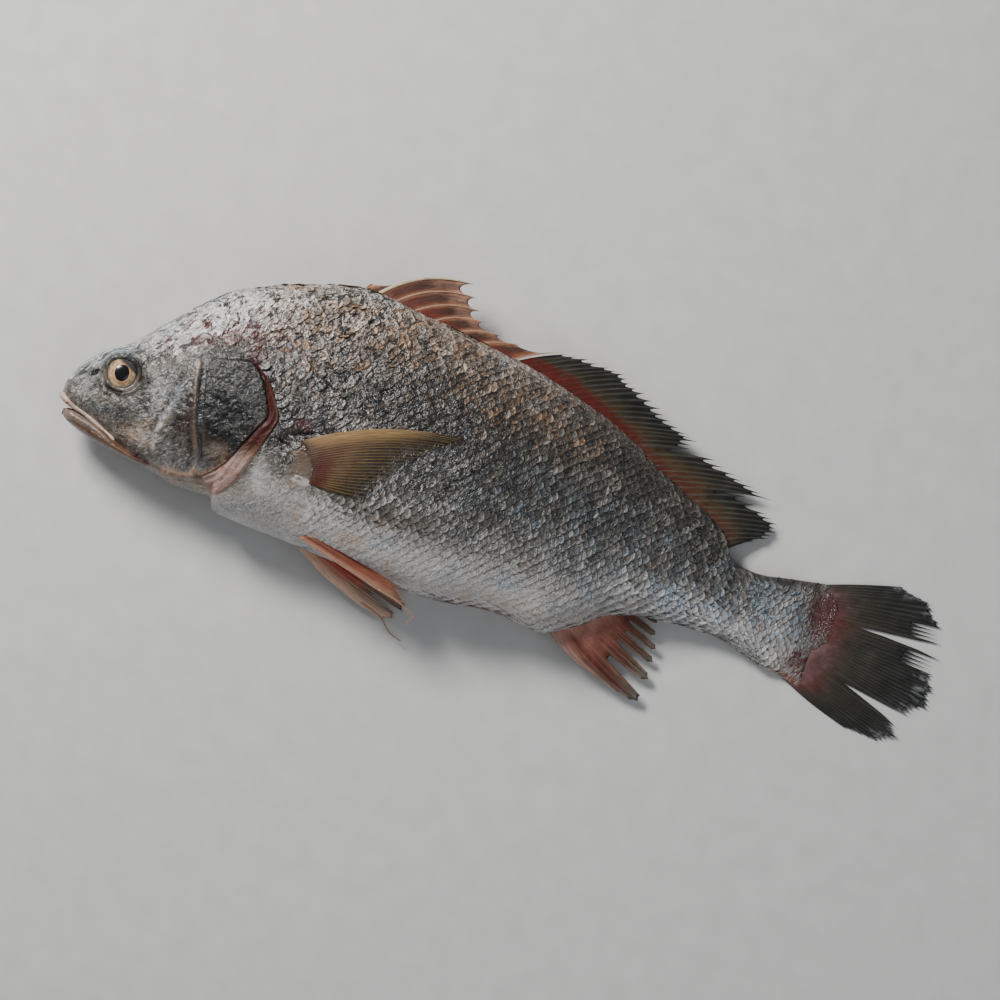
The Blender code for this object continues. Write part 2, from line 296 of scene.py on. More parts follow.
@dataclass(frozen=True)
class Trunk:
    """The settled body with the relief of its head."""

    settling: float = 0.94
    skull_end: float = 100.0
    head_droop: float = 0.05
    lowest_keel: float = 1.4
    floor_gap: float = 0.8
    socket: tuple[float, float] = (10.5, 15.5)

    def keel(self, x: Array) -> Array:
        """Height of the middle plane above the floor."""
        x = np.asarray(x, float)
        settled = self.settling * TRUNK.lines(np.maximum(x, self.skull_end))[2]
        return np.maximum(settled - self.head_droop * np.maximum(0.0, self.skull_end - x), self.lowest_keel)

    def relief(self, x: Array, y: Array) -> Array:
        """How far the ridges, folds and pits of the head stand out of the flank."""
        total = np.zeros(np.shape(x))
        away, _, ends = from_line(PREOPERCLE, x, y)
        total += ends * 0.9 * np.exp(-((away / 1.5) ** 2))
        total += ends * 0.9 * ramped(3.5, -0.5, away) * ramped(-14.0, -2.0, away)
        for line, height, width in (
            (CHEEK_CREST, 0.7, 1.3),
            (SUBORBITAL, -0.8, 1.6),
            (LIP_LINE, -1.1, 0.9),
            (SLIT, -2.4, 1.3),
            *((fold, 0.8, 1.2) for fold in THROAT_FOLDS),
        ):
            away, _, ends = from_line(line, x, y)
            total += ends * height * np.exp(-((away / width) ** 2))
        total -= 2.6 * slit(x, y)
        away = np.hypot(np.asarray(x) - EYE_PLACE[0], np.asarray(y) - EYE_PLACE[1])
        total += 0.9 * np.exp(-(((away - 13.0) / 1.8) ** 2))
        pad = ((np.asarray(x) - PAD[0]) / PAD[2]) ** 2 + ((np.asarray(y) - PAD[1]) / PAD[3]) ** 2
        total += 1.6 * np.exp(-(pad**2))
        head = ramped(116.0, 96.0, x) * ramped(-20.0, -8.0, y)
        total += head * (0.3 * ripple(x, y, 22.0, 0.4) + 0.16 * ripple(x, y, 9.0, 2.3))
        breast = ramped(104.0, 112.0, x) * ramped(210.0, 150.0, x) * ramped(8.0, -8.0, y)
        total += breast * (0.35 * ripple(x, y, 26.0, 1.9) + 0.15 * ripple(x, y, 10.0, 0.6))
        return total

    def half(self, x: Array, y: Array) -> Array:
        """Half the thickness at points seen from the side, with the relief and the eye's socket."""
        x, y = np.asarray(x, float), np.asarray(y, float)
        plain = TRUNK.flank(x, y)
        made = plain + self.relief(x, y) * ramped(1.0, 8.0, plain)
        away = np.hypot(x - EYE_PLACE[0], y - EYE_PLACE[1])
        floor = TRUNK.flank(np.array(EYE_PLACE[0]), np.array(EYE_PLACE[1])) - 1.5
        inside = ramped(self.socket[1], self.socket[0], away)
        return made * (1.0 - inside) + floor * inside

    def rest(self, z: Array, gap: float) -> Array:
        """Heights kept softly above the floor by a gap."""
        return 0.5 * (z + gap + np.sqrt((z - gap) ** 2 + 0.8))

    def height(self, x: Array, y: Array, side: Side, lift: Array | float = 0.0) -> Array:
        """Height over the floor of points on one flank, raised off the skin by lift."""
        z = self.keel(x) + side.value * (self.half(x, y) + lift)
        if side is Side.LEFT:
            return z
        return np.maximum(self.rest(z + lift, self.floor_gap) - lift, 0.02)


FORM = Trunk()


# ---------------------------------------------------------------- meshes


def fresh(add: Callable[..., object], name: str, **settings: object) -> bpy.types.Object:
    """Adds one primitive with nothing else selected.

    Args:
        add: the operator that adds it.
        name: the new piece's name.
        settings: the operator's settings.

    Returns:
        The new object, which is also the active one.
    """
    bpy.ops.object.select_all(action="DESELECT")
    add(**settings)
    made = bpy.context.object
    made.name = name
    made.data.name = name
    return made


def points_of(piece: bpy.types.Object) -> Array:
    """The places of a piece's vertices, one row each."""
    flat = np.empty(len(piece.data.vertices) * 3)
    piece.data.vertices.foreach_get("co", flat)
    return flat.reshape(-1, 3)


def put_points(piece: bpy.types.Object, points: Array) -> None:
    """Moves a piece's vertices to places in millimetres of the fish's own axes."""
    piece.data.vertices.foreach_set("co", AXES.metres(points).ravel())
    piece.data.update()


def grid(name: str, columns: int, rows: int, shape: Callable[[Array, Array], Array]) -> bpy.types.Object:
    """A sheet of faces bent into a shape.

    Args:
        name: the piece's name.
        columns: faces across, along u.
        rows: faces along v.
        shape: gives a row of x, y and z in millimetres for each pair of u and v between 0 and 1.

    Returns:
        The piece, whose UV map keeps u and v.
    """
    made = fresh(bpy.ops.mesh.primitive_grid_add, name, x_subdivisions=columns, y_subdivisions=rows, size=1.0)
    flat = points_of(made)
    put_points(made, shape(np.clip(flat[:, 0] + 0.5, 0.0, 1.0), np.clip(flat[:, 1] + 0.5, 0.0, 1.0)))
    return made


def seal(piece: bpy.types.Object, reach: float = 0.00002) -> None:
    """Merges a piece's doubled vertices, turns its faces outwards and shades it smooth."""
    bpy.ops.object.select_all(action="DESELECT")
    piece.select_set(True)
    bpy.context.view_layer.objects.active = piece
    bpy.ops.object.mode_set(mode="EDIT")
    bpy.ops.mesh.select_all(action="SELECT")
    bpy.ops.mesh.remove_doubles(threshold=reach)
    bpy.ops.mesh.normals_make_consistent(inside=False)
    bpy.ops.object.mode_set(mode="OBJECT")
    piece.data.shade_smooth()


def thicken(piece: bpy.types.Object, thickness: float, offset: float = 0.0) -> None:
    """Gives a sheet a thickness in millimetres, with an offset of -1 inwards to 1 outwards."""
    bpy.context.view_layer.objects.active = piece
    wall = piece.modifiers.new("wall", "SOLIDIFY")
    wall.thickness = thickness * 0.001
    wall.offset = offset
    bpy.ops.object.modifier_apply(modifier=wall.name)
    piece.data.shade_smooth()


def put_value(piece: bpy.types.Object, name: str, values: Array) -> None:
    """Keeps one number for each vertex of a piece, for its material to read."""
    layer = piece.data.attributes.new(name, "FLOAT", "POINT")
    layer.data.foreach_set("value", np.ascontiguousarray(values, np.float32))


def fit(piece: bpy.types.Object, material: bpy.types.Material) -> bpy.types.Object:
    """Dresses a piece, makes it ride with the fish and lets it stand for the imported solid."""
    piece.data.materials.clear()
    piece.data.materials.append(material)
    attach(piece, BODY)
    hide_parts(NODE)
    log.info("%s: %d faces", piece.name, len(piece.data.polygons))
    return piece


# ---------------------------------------------------------------- colouring


@dataclass(frozen=True)
class Patch:
    """A soft oval patch on the flank that adds an amount of a value."""

    x: float
    y: float
    reach_x: float
    reach_y: float
    amount: float
    turn: float = 0.0

    def at(self, x: Array, y: Array) -> Array:
        """The amount that the patch adds at points."""
        c, s = math.cos(math.radians(self.turn)), math.sin(math.radians(self.turn))
        dx, dy = np.asarray(x) - self.x, np.asarray(y) - self.y
        run, rise = (dx * c + dy * s) / self.reach_x, (dy * c - dx * s) / self.reach_y
        return self.amount * np.exp(-((run**2 + rise**2) ** 1.4))


@dataclass(frozen=True)
class Streak:
    """A soft line on the skin that adds to its lightness, its warmth and its blood."""

    line: Line
    width: float
    light: float = 0.0
    warm: float = 0.0
    blood: float = 0.0

    def at(self, x: Array, y: Array) -> Array:
        """How strongly the line shows at points, from 0 to 1."""
        away, _, ends = from_line(self.line, x, y)
        return ends * np.exp(-((away / self.width) ** 2))


@dataclass(frozen=True)
class Colouring:
    """Where the skin is light, warm or bloody. Lightness runs from 0, black, to 1, white; a few of its patches and
    streaks are painted shade and painted highlights.
    """

    front: Line = ((0.0, 0.7), (0.14, 0.66), (0.26, 0.5), (0.42, 0.35), (0.6, 0.34), (0.75, 0.43), (0.9, 0.54), (1.0, 0.54))
    middle: Line = ((0.0, 0.74), (0.13, 0.68), (0.26, 0.44), (0.42, 0.3), (0.65, 0.24), (0.8, 0.33), (0.93, 0.47), (1.0, 0.46))
    rear: Line = ((0.0, 0.7), (0.2, 0.6), (0.38, 0.4), (0.6, 0.27), (0.88, 0.25), (1.0, 0.28))
    head: Line = ((0.0, 0.42), (0.12, 0.46), (0.4, 0.48), (0.7, 0.52), (0.85, 0.68), (1.0, 0.7))
    tail: Line = ((0.0, 0.7), (0.3, 0.66), (0.6, 0.58), (0.85, 0.52), (1.0, 0.46))
    stops: tuple[float, ...] = (75.0, 130.0, 240.0, 380.0, 455.0)
    light: tuple[Patch, ...] = (
        Patch(92.0, 86.0, 34.0, 12.0, 0.22, 38.0),
        Patch(58.0, 60.0, 22.0, 9.0, 0.1, 45.0),
        Patch(12.0, 14.0, 9.0, 8.0, 0.1, 20.0),
        Patch(38.0, 3.0, 8.0, 5.0, -0.12, -20.0),
        Patch(46.0, 20.0, 6.0, 9.0, -0.2, 15.0),
        Patch(56.0, 17.0, 5.0, 14.0, 0.08, 12.0),
        Patch(56.0, 37.0, 13.0, 9.0, -0.14),
        Patch(50.0, -6.0, 9.0, 6.0, 0.24, -15.0),
        Patch(72.0, 8.0, 6.0, 9.0, -0.2, 10.0),
        Patch(74.0, -10.0, 9.0, 8.0, 0.05, 10.0),
        Patch(20.0, 17.5, 8.0, 2.6, -0.24, -14.0),
        Patch(98.0, 26.0, 22.0, 36.0, -0.6, 10.0),
        Patch(98.0, 3.0, 9.0, 7.0, 0.28, 30.0),
        Patch(94.0, 48.0, 16.0, 9.0, -0.14),
        Patch(109.0, 56.0, 8.0, 5.0, -0.34, -35.0),
        Patch(468.0, -22.0, 12.0, 8.0, -0.12),
        Patch(479.0, 0.0, 15.0, 40.0, -0.14),
        Patch(200.0, 78.0, 30.0, 14.0, -0.06),
        Patch(310.0, 84.0, 64.0, 13.0, -0.1, -24.0),
        Patch(150.0, 55.0, 26.0, 16.0, -0.1, 10.0),
        Patch(204.0, 58.0, 36.0, 15.0, -0.17, -6.0),
        Patch(132.0, -24.0, 16.0, 9.0, -0.07),
        Patch(200.0, -8.0, 42.0, 8.0, -0.12, -4.0),
        Patch(280.0, -36.0, 30.0, 8.0, 0.05),
        Patch(305.0, 8.0, 32.0, 12.0, 0.08, -8.0),
        Patch(384.0, -5.0, 24.0, 9.0, 0.07, 4.0),
        Patch(340.0, 34.0, 60.0, 13.0, 0.04, -16.0),
        Patch(*PAD, -0.02),
        # painted shadow in the hollow of the axil above the pectoral fin
        Patch(144.0, 28.0, 10.0, 8.5, -0.7, 20.0),
        Patch(122.0, 8.0, 5.0, 24.0, 0.22, 14.0),
        Patch(80.0, -23.5, 38.0, 5.0, 0.14, 1.0),
        Patch(86.0, 12.0, 1.6, 10.0, 0.2, 14.0),
    )
    warm: tuple[Patch, ...] = (
        Patch(20.0, -9.0, 30.0, 5.0, 0.9, -20.0),
        Patch(2.0, 5.0, 5.0, 6.0, 0.55),
        Patch(84.0, -22.0, 34.0, 6.0, 0.6, 3.0),
        Patch(72.0, 4.0, 8.0, 16.0, 0.4, 12.0),
        Patch(62.0, 40.0, 12.0, 8.0, 0.5),
        Patch(170.0, 92.0, 70.0, 26.0, 0.7, -8.0),
        Patch(122.0, 62.0, 26.0, 22.0, 0.7),
        Patch(270.0, 80.0, 80.0, 20.0, 0.76, -17.0),
        Patch(200.0, 60.0, 60.0, 24.0, 0.75),
        Patch(*AXIL, 1.0, 20.0),
        Patch(*PAD, 0.8),
        Patch(290.0, -38.0, 70.0, 7.0, 0.2),
        Patch(104.0, 4.0, 16.0, 12.0, 0.5, 40.0),
        Patch(48.0, -6.0, 14.0, 6.0, 0.6, -20.0),
        Patch(30.0, 12.0, 12.0, 5.0, 0.5, -14.0),
    )
    cool: tuple[Patch, ...] = (
        Patch(320.0, 22.0, 110.0, 26.0, 0.85, -8.0),
        Patch(430.0, 8.0, 46.0, 20.0, 0.9),
        Patch(22.0, 37.0, 18.0, 8.0, 0.8, 40.0),
        Patch(42.0, 10.0, 10.0, 8.0, 0.4),
        Patch(96.0, 36.0, 14.0, 20.0, 0.5),
        Patch(60.0, 30.0, 12.0, 10.0, 0.5),
        Patch(10.0, 18.0, 8.0, 7.0, 0.5),
    )
    blood: tuple[Patch, ...] = (
        Patch(300.0, 94.0, 56.0, 5.0, 0.3, -20.0),
        Patch(372.0, 60.0, 44.0, 4.0, 0.3, -32.0),
        Patch(252.0, 104.0, 30.0, 3.0, 0.5, -10.0),
        Patch(478.0, 13.0, 16.0, 14.0, 0.6),
        Patch(473.0, -22.0, 18.0, 9.0, 0.7, -10.0),
        Patch(74.0, 8.0, 5.0, 11.0, 0.4),
        Patch(3.0, -0.5, 6.0, 2.4, 0.8, -20.0),
        Patch(86.0, 68.0, 30.0, 9.0, 0.36, 14.0),
        Patch(48.0, 54.0, 6.0, 5.0, 0.36, 60.0),
        Patch(105.0, 62.0, 12.0, 6.0, 0.6, -40.0),
        Patch(40.0, 0.0, 6.0, 4.0, 0.3, -20.0),
        Patch(*AXIL, 0.3, 20.0),
        Patch(143.0, 31.0, 7.0, 5.0, 0.6, 20.0),
        Patch(310.0, -30.0, 30.0, 12.0, 0.16),
        Patch(325.0, 82.0, 60.0, 5.0, 0.3, -26.0),
        Patch(32.0, 60.0, 22.0, 4.0, 0.3, 44.0),
        Patch(100.0, 78.0, 20.0, 5.0, 0.24, 30.0),
        Patch(88.0, 80.0, 46.0, 14.0, 0.14, 36.0),
        Patch(24.0, 14.0, 14.0, 5.0, 0.16, -14.0),
        Patch(44.0, 16.0, 6.0, 10.0, 0.2, 15.0),
    )
    streaks: tuple[Streak, ...] = (
        Streak(PREOPERCLE, 2.0, 0.14, 0.6, 0.2),
        Streak(((89.0, -10.0), (87.5, -17.5), (80.0, -20.0), (68.0, -20.5)), 2.0, 0.14, 0.2, 0.14),
        # darker warm, bloody band at the front foot of the preopercle ridge: its own colour plus painted shade
        Streak(((70.0, 42.0), (72.0, 31.0), (75.5, 17.0), (79.5, 4.0), (83.5, -8.0)), 2.2, -0.12, 0.3, 0.2),
        # painted shadow behind the preopercle ridge
        Streak(((75.4, 48.0), (77.0, 37.0), (80.4, 23.0), (82.6, 13.5), (87.2, 0.5), (91.0, -9.0)), 1.2, -0.34),
        # painted shade in the creases of the folds above the eye, and painted highlights on the folds between them
        *(Streak(arc_round(EYE_PLACE, radius, 35.0, 165.0), 0.65, -0.3) for radius in (12.6, 14.8, 17.4)),
        *(Streak(arc_round(EYE_PLACE, radius, 50.0, 160.0), 0.8, 0.12) for radius in (13.7, 16.1)),
        Streak(arc_round(EYE_PLACE, 11.4, -75.0, -10.0), 0.8, 0.34),
        # painted shadow in the slit under the pectoral fin's root, which is also warm and bloody
        Streak(SLIT, 1.7, -1.0, 0.3, 0.2),
        Streak(CHEEK_CREST, 2.0, 0.16),
        Streak(((64.5, 38.0), (62.5, 29.0), (59.0, 11.0), (56.0, -2.0)), 1.2, -0.16),
        # painted shade in the groove under the eye
        Streak(SUBORBITAL, 1.5, -0.16),
        Streak(THROAT_FOLDS[0], 1.0, -0.12, 0.6, 0.5),
        Streak(THROAT_FOLDS[1], 0.9, -0.1, 0.6, 0.44),
        Streak(THROAT_FOLDS[2], 0.9, -0.06, 0.6, 0.4),
        Streak(((240.0, -46.8), (256.0, -46.2), (283.0, -43.0), (300.0, -44.8)), 1.1, -0.12, 0.5, 1.0),
        Streak(((158.0, -1.0), (157.5, 6.0), (153.0, 13.0), (145.0, 18.5)), 1.2, -0.1, 0.6, 0.3),
        Streak(((144.0, -2.5), (150.0, -3.4), (158.0, -2.2)), 1.2, 0.3),
        Streak(((452.0, -27.0), (462.0, -30.0), (476.0, -33.0)), 3.0, 0.0, 0.6, 0.5),
    )

    def lightness(self, x: Array, y: Array) -> Array:
        """How light the skin is at points, before the streaks."""
        up = TRUNK.share_up(x, y)
        bands = [eased(band, up) for band in (self.head, self.front, self.middle, self.rear, self.tail)]
        total = bands[0]
        for low, high, band in zip(self.stops, self.stops[1:], bands[1:]):
            step = ramped(low, high, x)
            total = total * (1.0 - step) + band * step
        # painted highlight along the back's edge, lightening the steep skin there that the lamps leave dim
        rim = 0.16 * ramped(0.95, 0.99, up) * ramped(110.0, 170.0, x) * ramped(390.0, 340.0, x)
        return total + rim + sum(patch.at(x, y) for patch in self.light)

    def folded(self, x: Array, y: Array) -> Array:
        """How creased the skin is at points."""
        up = TRUNK.share_up(x, y)
        head = (0.26 + 0.64 * ramped(0.62, 0.8, up)) * ramped(124.0, 104.0, x) * ramped(-21.0, -14.0, y)
        shoulder = 0.38 * ramped(104.0, 124.0, x) * ramped(290.0, 200.0, x) * ramped(-10.0, 12.0, y)
        shoulder = shoulder + 0.35 * ramped(104.0, 124.0, x) * ramped(200.0, 150.0, x) * ramped(72.0, 90.0, y)
        flank = 0.16 * ramped(200.0, 290.0, x) * ramped(-30.0, 0.0, y) * ramped(430.0, 380.0, x)
        even = 0.25 + 0.1 * ramped(385.0, 430.0, x)
        away, _, ends = from_line(PREOPERCLE, x, y)
        smooth = np.maximum(Patch(*PAD, 1.0).at(x, y), 0.8 * ends * np.exp(-((away / 2.4) ** 2)))
        return np.clip((head + shoulder + flank + even) * (1.0 - smooth), 0.0, 1.0)

    def values(self, x: Array, y: Array) -> dict[str, Array]:
        """The named numbers that the skin's finish reads, at points."""
        x, y = np.asarray(x, float), np.asarray(y, float)
        shown = [streak.at(x, y) for streak in self.streaks]
        made = {"light": self.lightness(x, y), "fold": self.folded(x, y)}
        for name, patches in (("warm", self.warm), ("cool", self.cool), ("blood", self.blood)):
            made[name] = sum(patch.at(x, y) for patch in patches)
        for name in ("light", "warm", "blood"):
            made[name] = made[name] + sum(getattr(k, name) * part for k, part in zip(self.streaks, shown))
        return {name: np.clip(value, 0.0, 1.0) for name, value in made.items()}

    def paint(self, piece: bpy.types.Object, x: Array, y: Array, **shifts: Array | float) -> None:
        """Keeps the colouring of a piece's vertices.

        Args:
            piece: the piece.
            x: place along the fish of each vertex.
            y: height up the fish of each vertex.
            shifts: what to add to the values named.
        """
        for name, value in self.values(x, y).items():
            put_value(piece, name, np.clip(value + shifts.get(name, 0.0), 0.0, 1.0))


COLOURING = Colouring()


# ---------------------------------------------------------------- finishes


def rgb(red: int, green: int, blue: int) -> tuple[float, float, float, float]:
    """A colour given in display values up to 255, as the shader's linear values."""
    linear = [c / 255.0 / 12.92 if c <= 10 else ((c / 255.0 + 0.055) / 1.055) ** 2.4 for c in (red, green, blue)]
    return (*linear, 1.0)


class Palette:
    """Adds and links the nodes of one material."""

    def __init__(self, name: str) -> None:
        """Starts a material with a plain shader."""
        self.material = bpy.data.materials.new(name)
        self.material.use_nodes = True
        self.tree = self.material.node_tree
        self.shader = self.tree.nodes["Principled BSDF"]

    def set(self, node: bpy.types.Node, **values: object) -> None:
        """Sets a node's inputs by name, a space in a name written as _, with sockets linked."""
        for name, value in values.items():
            socket = node.inputs[name.replace("_", " ")]
            if isinstance(value, bpy.types.NodeSocket):
                self.tree.links.new(value, socket)
            else:
                socket.default_value = value

    def texture(self, kind: str, vector: bpy.types.NodeSocket, output: str, **values: object) -> bpy.types.NodeSocket:
        """A procedural texture's output."""
        node = self.tree.nodes.new(f"ShaderNodeTex{kind}")
        self.set(node, Vector=vector, **values)
        return node.outputs[output]

    def creases(self, vector: bpy.types.NodeSocket, scale: float, width: float) -> bpy.types.NodeSocket:
        """A net of thin wandering lines, 0 on a line and 1 away from it."""
        noise = self.texture("Noise", vector, "Fac", Scale=scale, Detail=2.5, Roughness=0.55, Distortion=0.5)
        away = self.maths("ABSOLUTE", self.maths("SUBTRACT", noise, 0.5))
        return self.ranged(away, 0.0, width)

    def coordinates(self, output: str, scale: tuple[float, float, float] = (1.0, 1.0, 1.0)) -> bpy.types.NodeSocket:
        """Object or UV coordinates, stretched by a scale."""
        source = self.tree.nodes.new("ShaderNodeTexCoord").outputs[output]
        mapping = self.tree.nodes.new("ShaderNodeMapping")
        self.set(mapping, Vector=source, Scale=scale)
        return mapping.outputs["Vector"]

    def vectors(self, kind: str, first: object, second: object) -> bpy.types.NodeSocket:
        """The result of a sum on two vectors."""
        node = self.tree.nodes.new("ShaderNodeVectorMath")
        node.operation = kind
        for socket, value in zip(node.inputs, (first, second)):
            if isinstance(value, bpy.types.NodeSocket):
                self.tree.links.new(value, socket)
            else:
                socket.default_value = value
        return node.outputs["Vector"]

    def strewn(self, turn: float, scale: tuple[float, float, float], shift: tuple[float, float]) -> bpy.types.NodeSocket:
        """Wandering object coordinates, moved by shift, turned by degrees and then stretched."""
        place = self.coordinates("Object")
        stray = self.texture("Noise", place, "Color", Scale=120.0, Detail=1.0)
        stray = self.vectors("MULTIPLY", self.vectors("SUBTRACT", stray, (0.5, 0.5, 0.5)), (0.007, 0.007, 0.004))
        node = self.tree.nodes.new("ShaderNodeMapping")
        place = self.vectors("ADD", self.vectors("ADD", place, stray), (*shift, 0.0))
        self.set(node, Vector=place, Rotation=(0.0, 0.0, math.radians(-turn)))
        return self.vectors("MULTIPLY", node.outputs["Vector"], scale)

    def value(self, name: str) -> bpy.types.NodeSocket:
        """A number kept on the piece's vertices."""
        node = self.tree.nodes.new("ShaderNodeAttribute")
        node.attribute_name = name
        return node.outputs["Fac"]

    def maths(self, kind: str, *values: object) -> bpy.types.NodeSocket:
        """The result of a sum on sockets or numbers."""
        node = self.tree.nodes.new("ShaderNodeMath")
        node.operation = kind
        for socket, value in zip(node.inputs, values):
            if isinstance(value, bpy.types.NodeSocket):
                self.tree.links.new(value, socket)
            else:
                socket.default_value = value
        return node.outputs[0]

    def ranged(self, value: bpy.types.NodeSocket, low: float, high: float, start: float = 0.0, end: float = 1.0) -> bpy.types.NodeSocket:
        """A value stretched from low and high to start and end, and clamped."""
        node = self.tree.nodes.new("ShaderNodeMapRange")
        self.set(node, Value=value, From_Min=low, From_Max=high, To_Min=start, To_Max=end)
        return node.outputs["Result"]

    def ramp(self, value: bpy.types.NodeSocket, *stops: tuple[float, tuple]) -> bpy.types.NodeSocket:
        """Colours picked by a value."""
        node = self.tree.nodes.new("ShaderNodeValToRGB")
        marks = node.color_ramp.elements
        while len(marks) < len(stops):
            marks.new(0.5)
        for mark, (place, colour) in zip(marks, stops):
            mark.position = place
            mark.color = colour
        self.tree.links.new(value, node.inputs["Fac"])
        return node.outputs["Color"]

    def blend(self, share: object, first: object, second: object, kind: str = "MIX") -> bpy.types.NodeSocket:
        """Two colours mixed by a share."""
        node = self.tree.nodes.new("ShaderNodeMix")
        node.data_type = "RGBA"
        node.blend_type = kind
        for socket, value in zip((node.inputs[0], node.inputs[6], node.inputs[7]), (share, first, second)):
            if isinstance(value, bpy.types.NodeSocket):
                self.tree.links.new(value, socket)
            else:
                socket.default_value = value
        return node.outputs[2]

    def bump(self, height: bpy.types.NodeSocket, distance: float, strength: float = 1.0) -> None:
        """Roughens the shader's normal by a height in metres."""
        node = self.tree.nodes.new("ShaderNodeBump")
        before = self.shader.inputs["Normal"].links
        if before:
            self.tree.links.new(before[0].from_socket, node.inputs["Normal"])
        self.set(node, Height=height, Distance=distance, Strength=strength)
        for name in ("Normal", "Coat Normal"):
            self.tree.links.new(node.outputs["Normal"], self.shader.inputs[name])


SILVER_STOPS = (
    (0.0, rgb(10, 8, 7)),
    (0.15, rgb(30, 27, 24)),
    (0.3, rgb(66, 61, 54)),
    (0.45, rgb(108, 102, 96)),
    (0.6, rgb(160, 155, 151)),
    (0.8, rgb(214, 211, 208)),
    (1.0, rgb(250, 249, 248)),
)


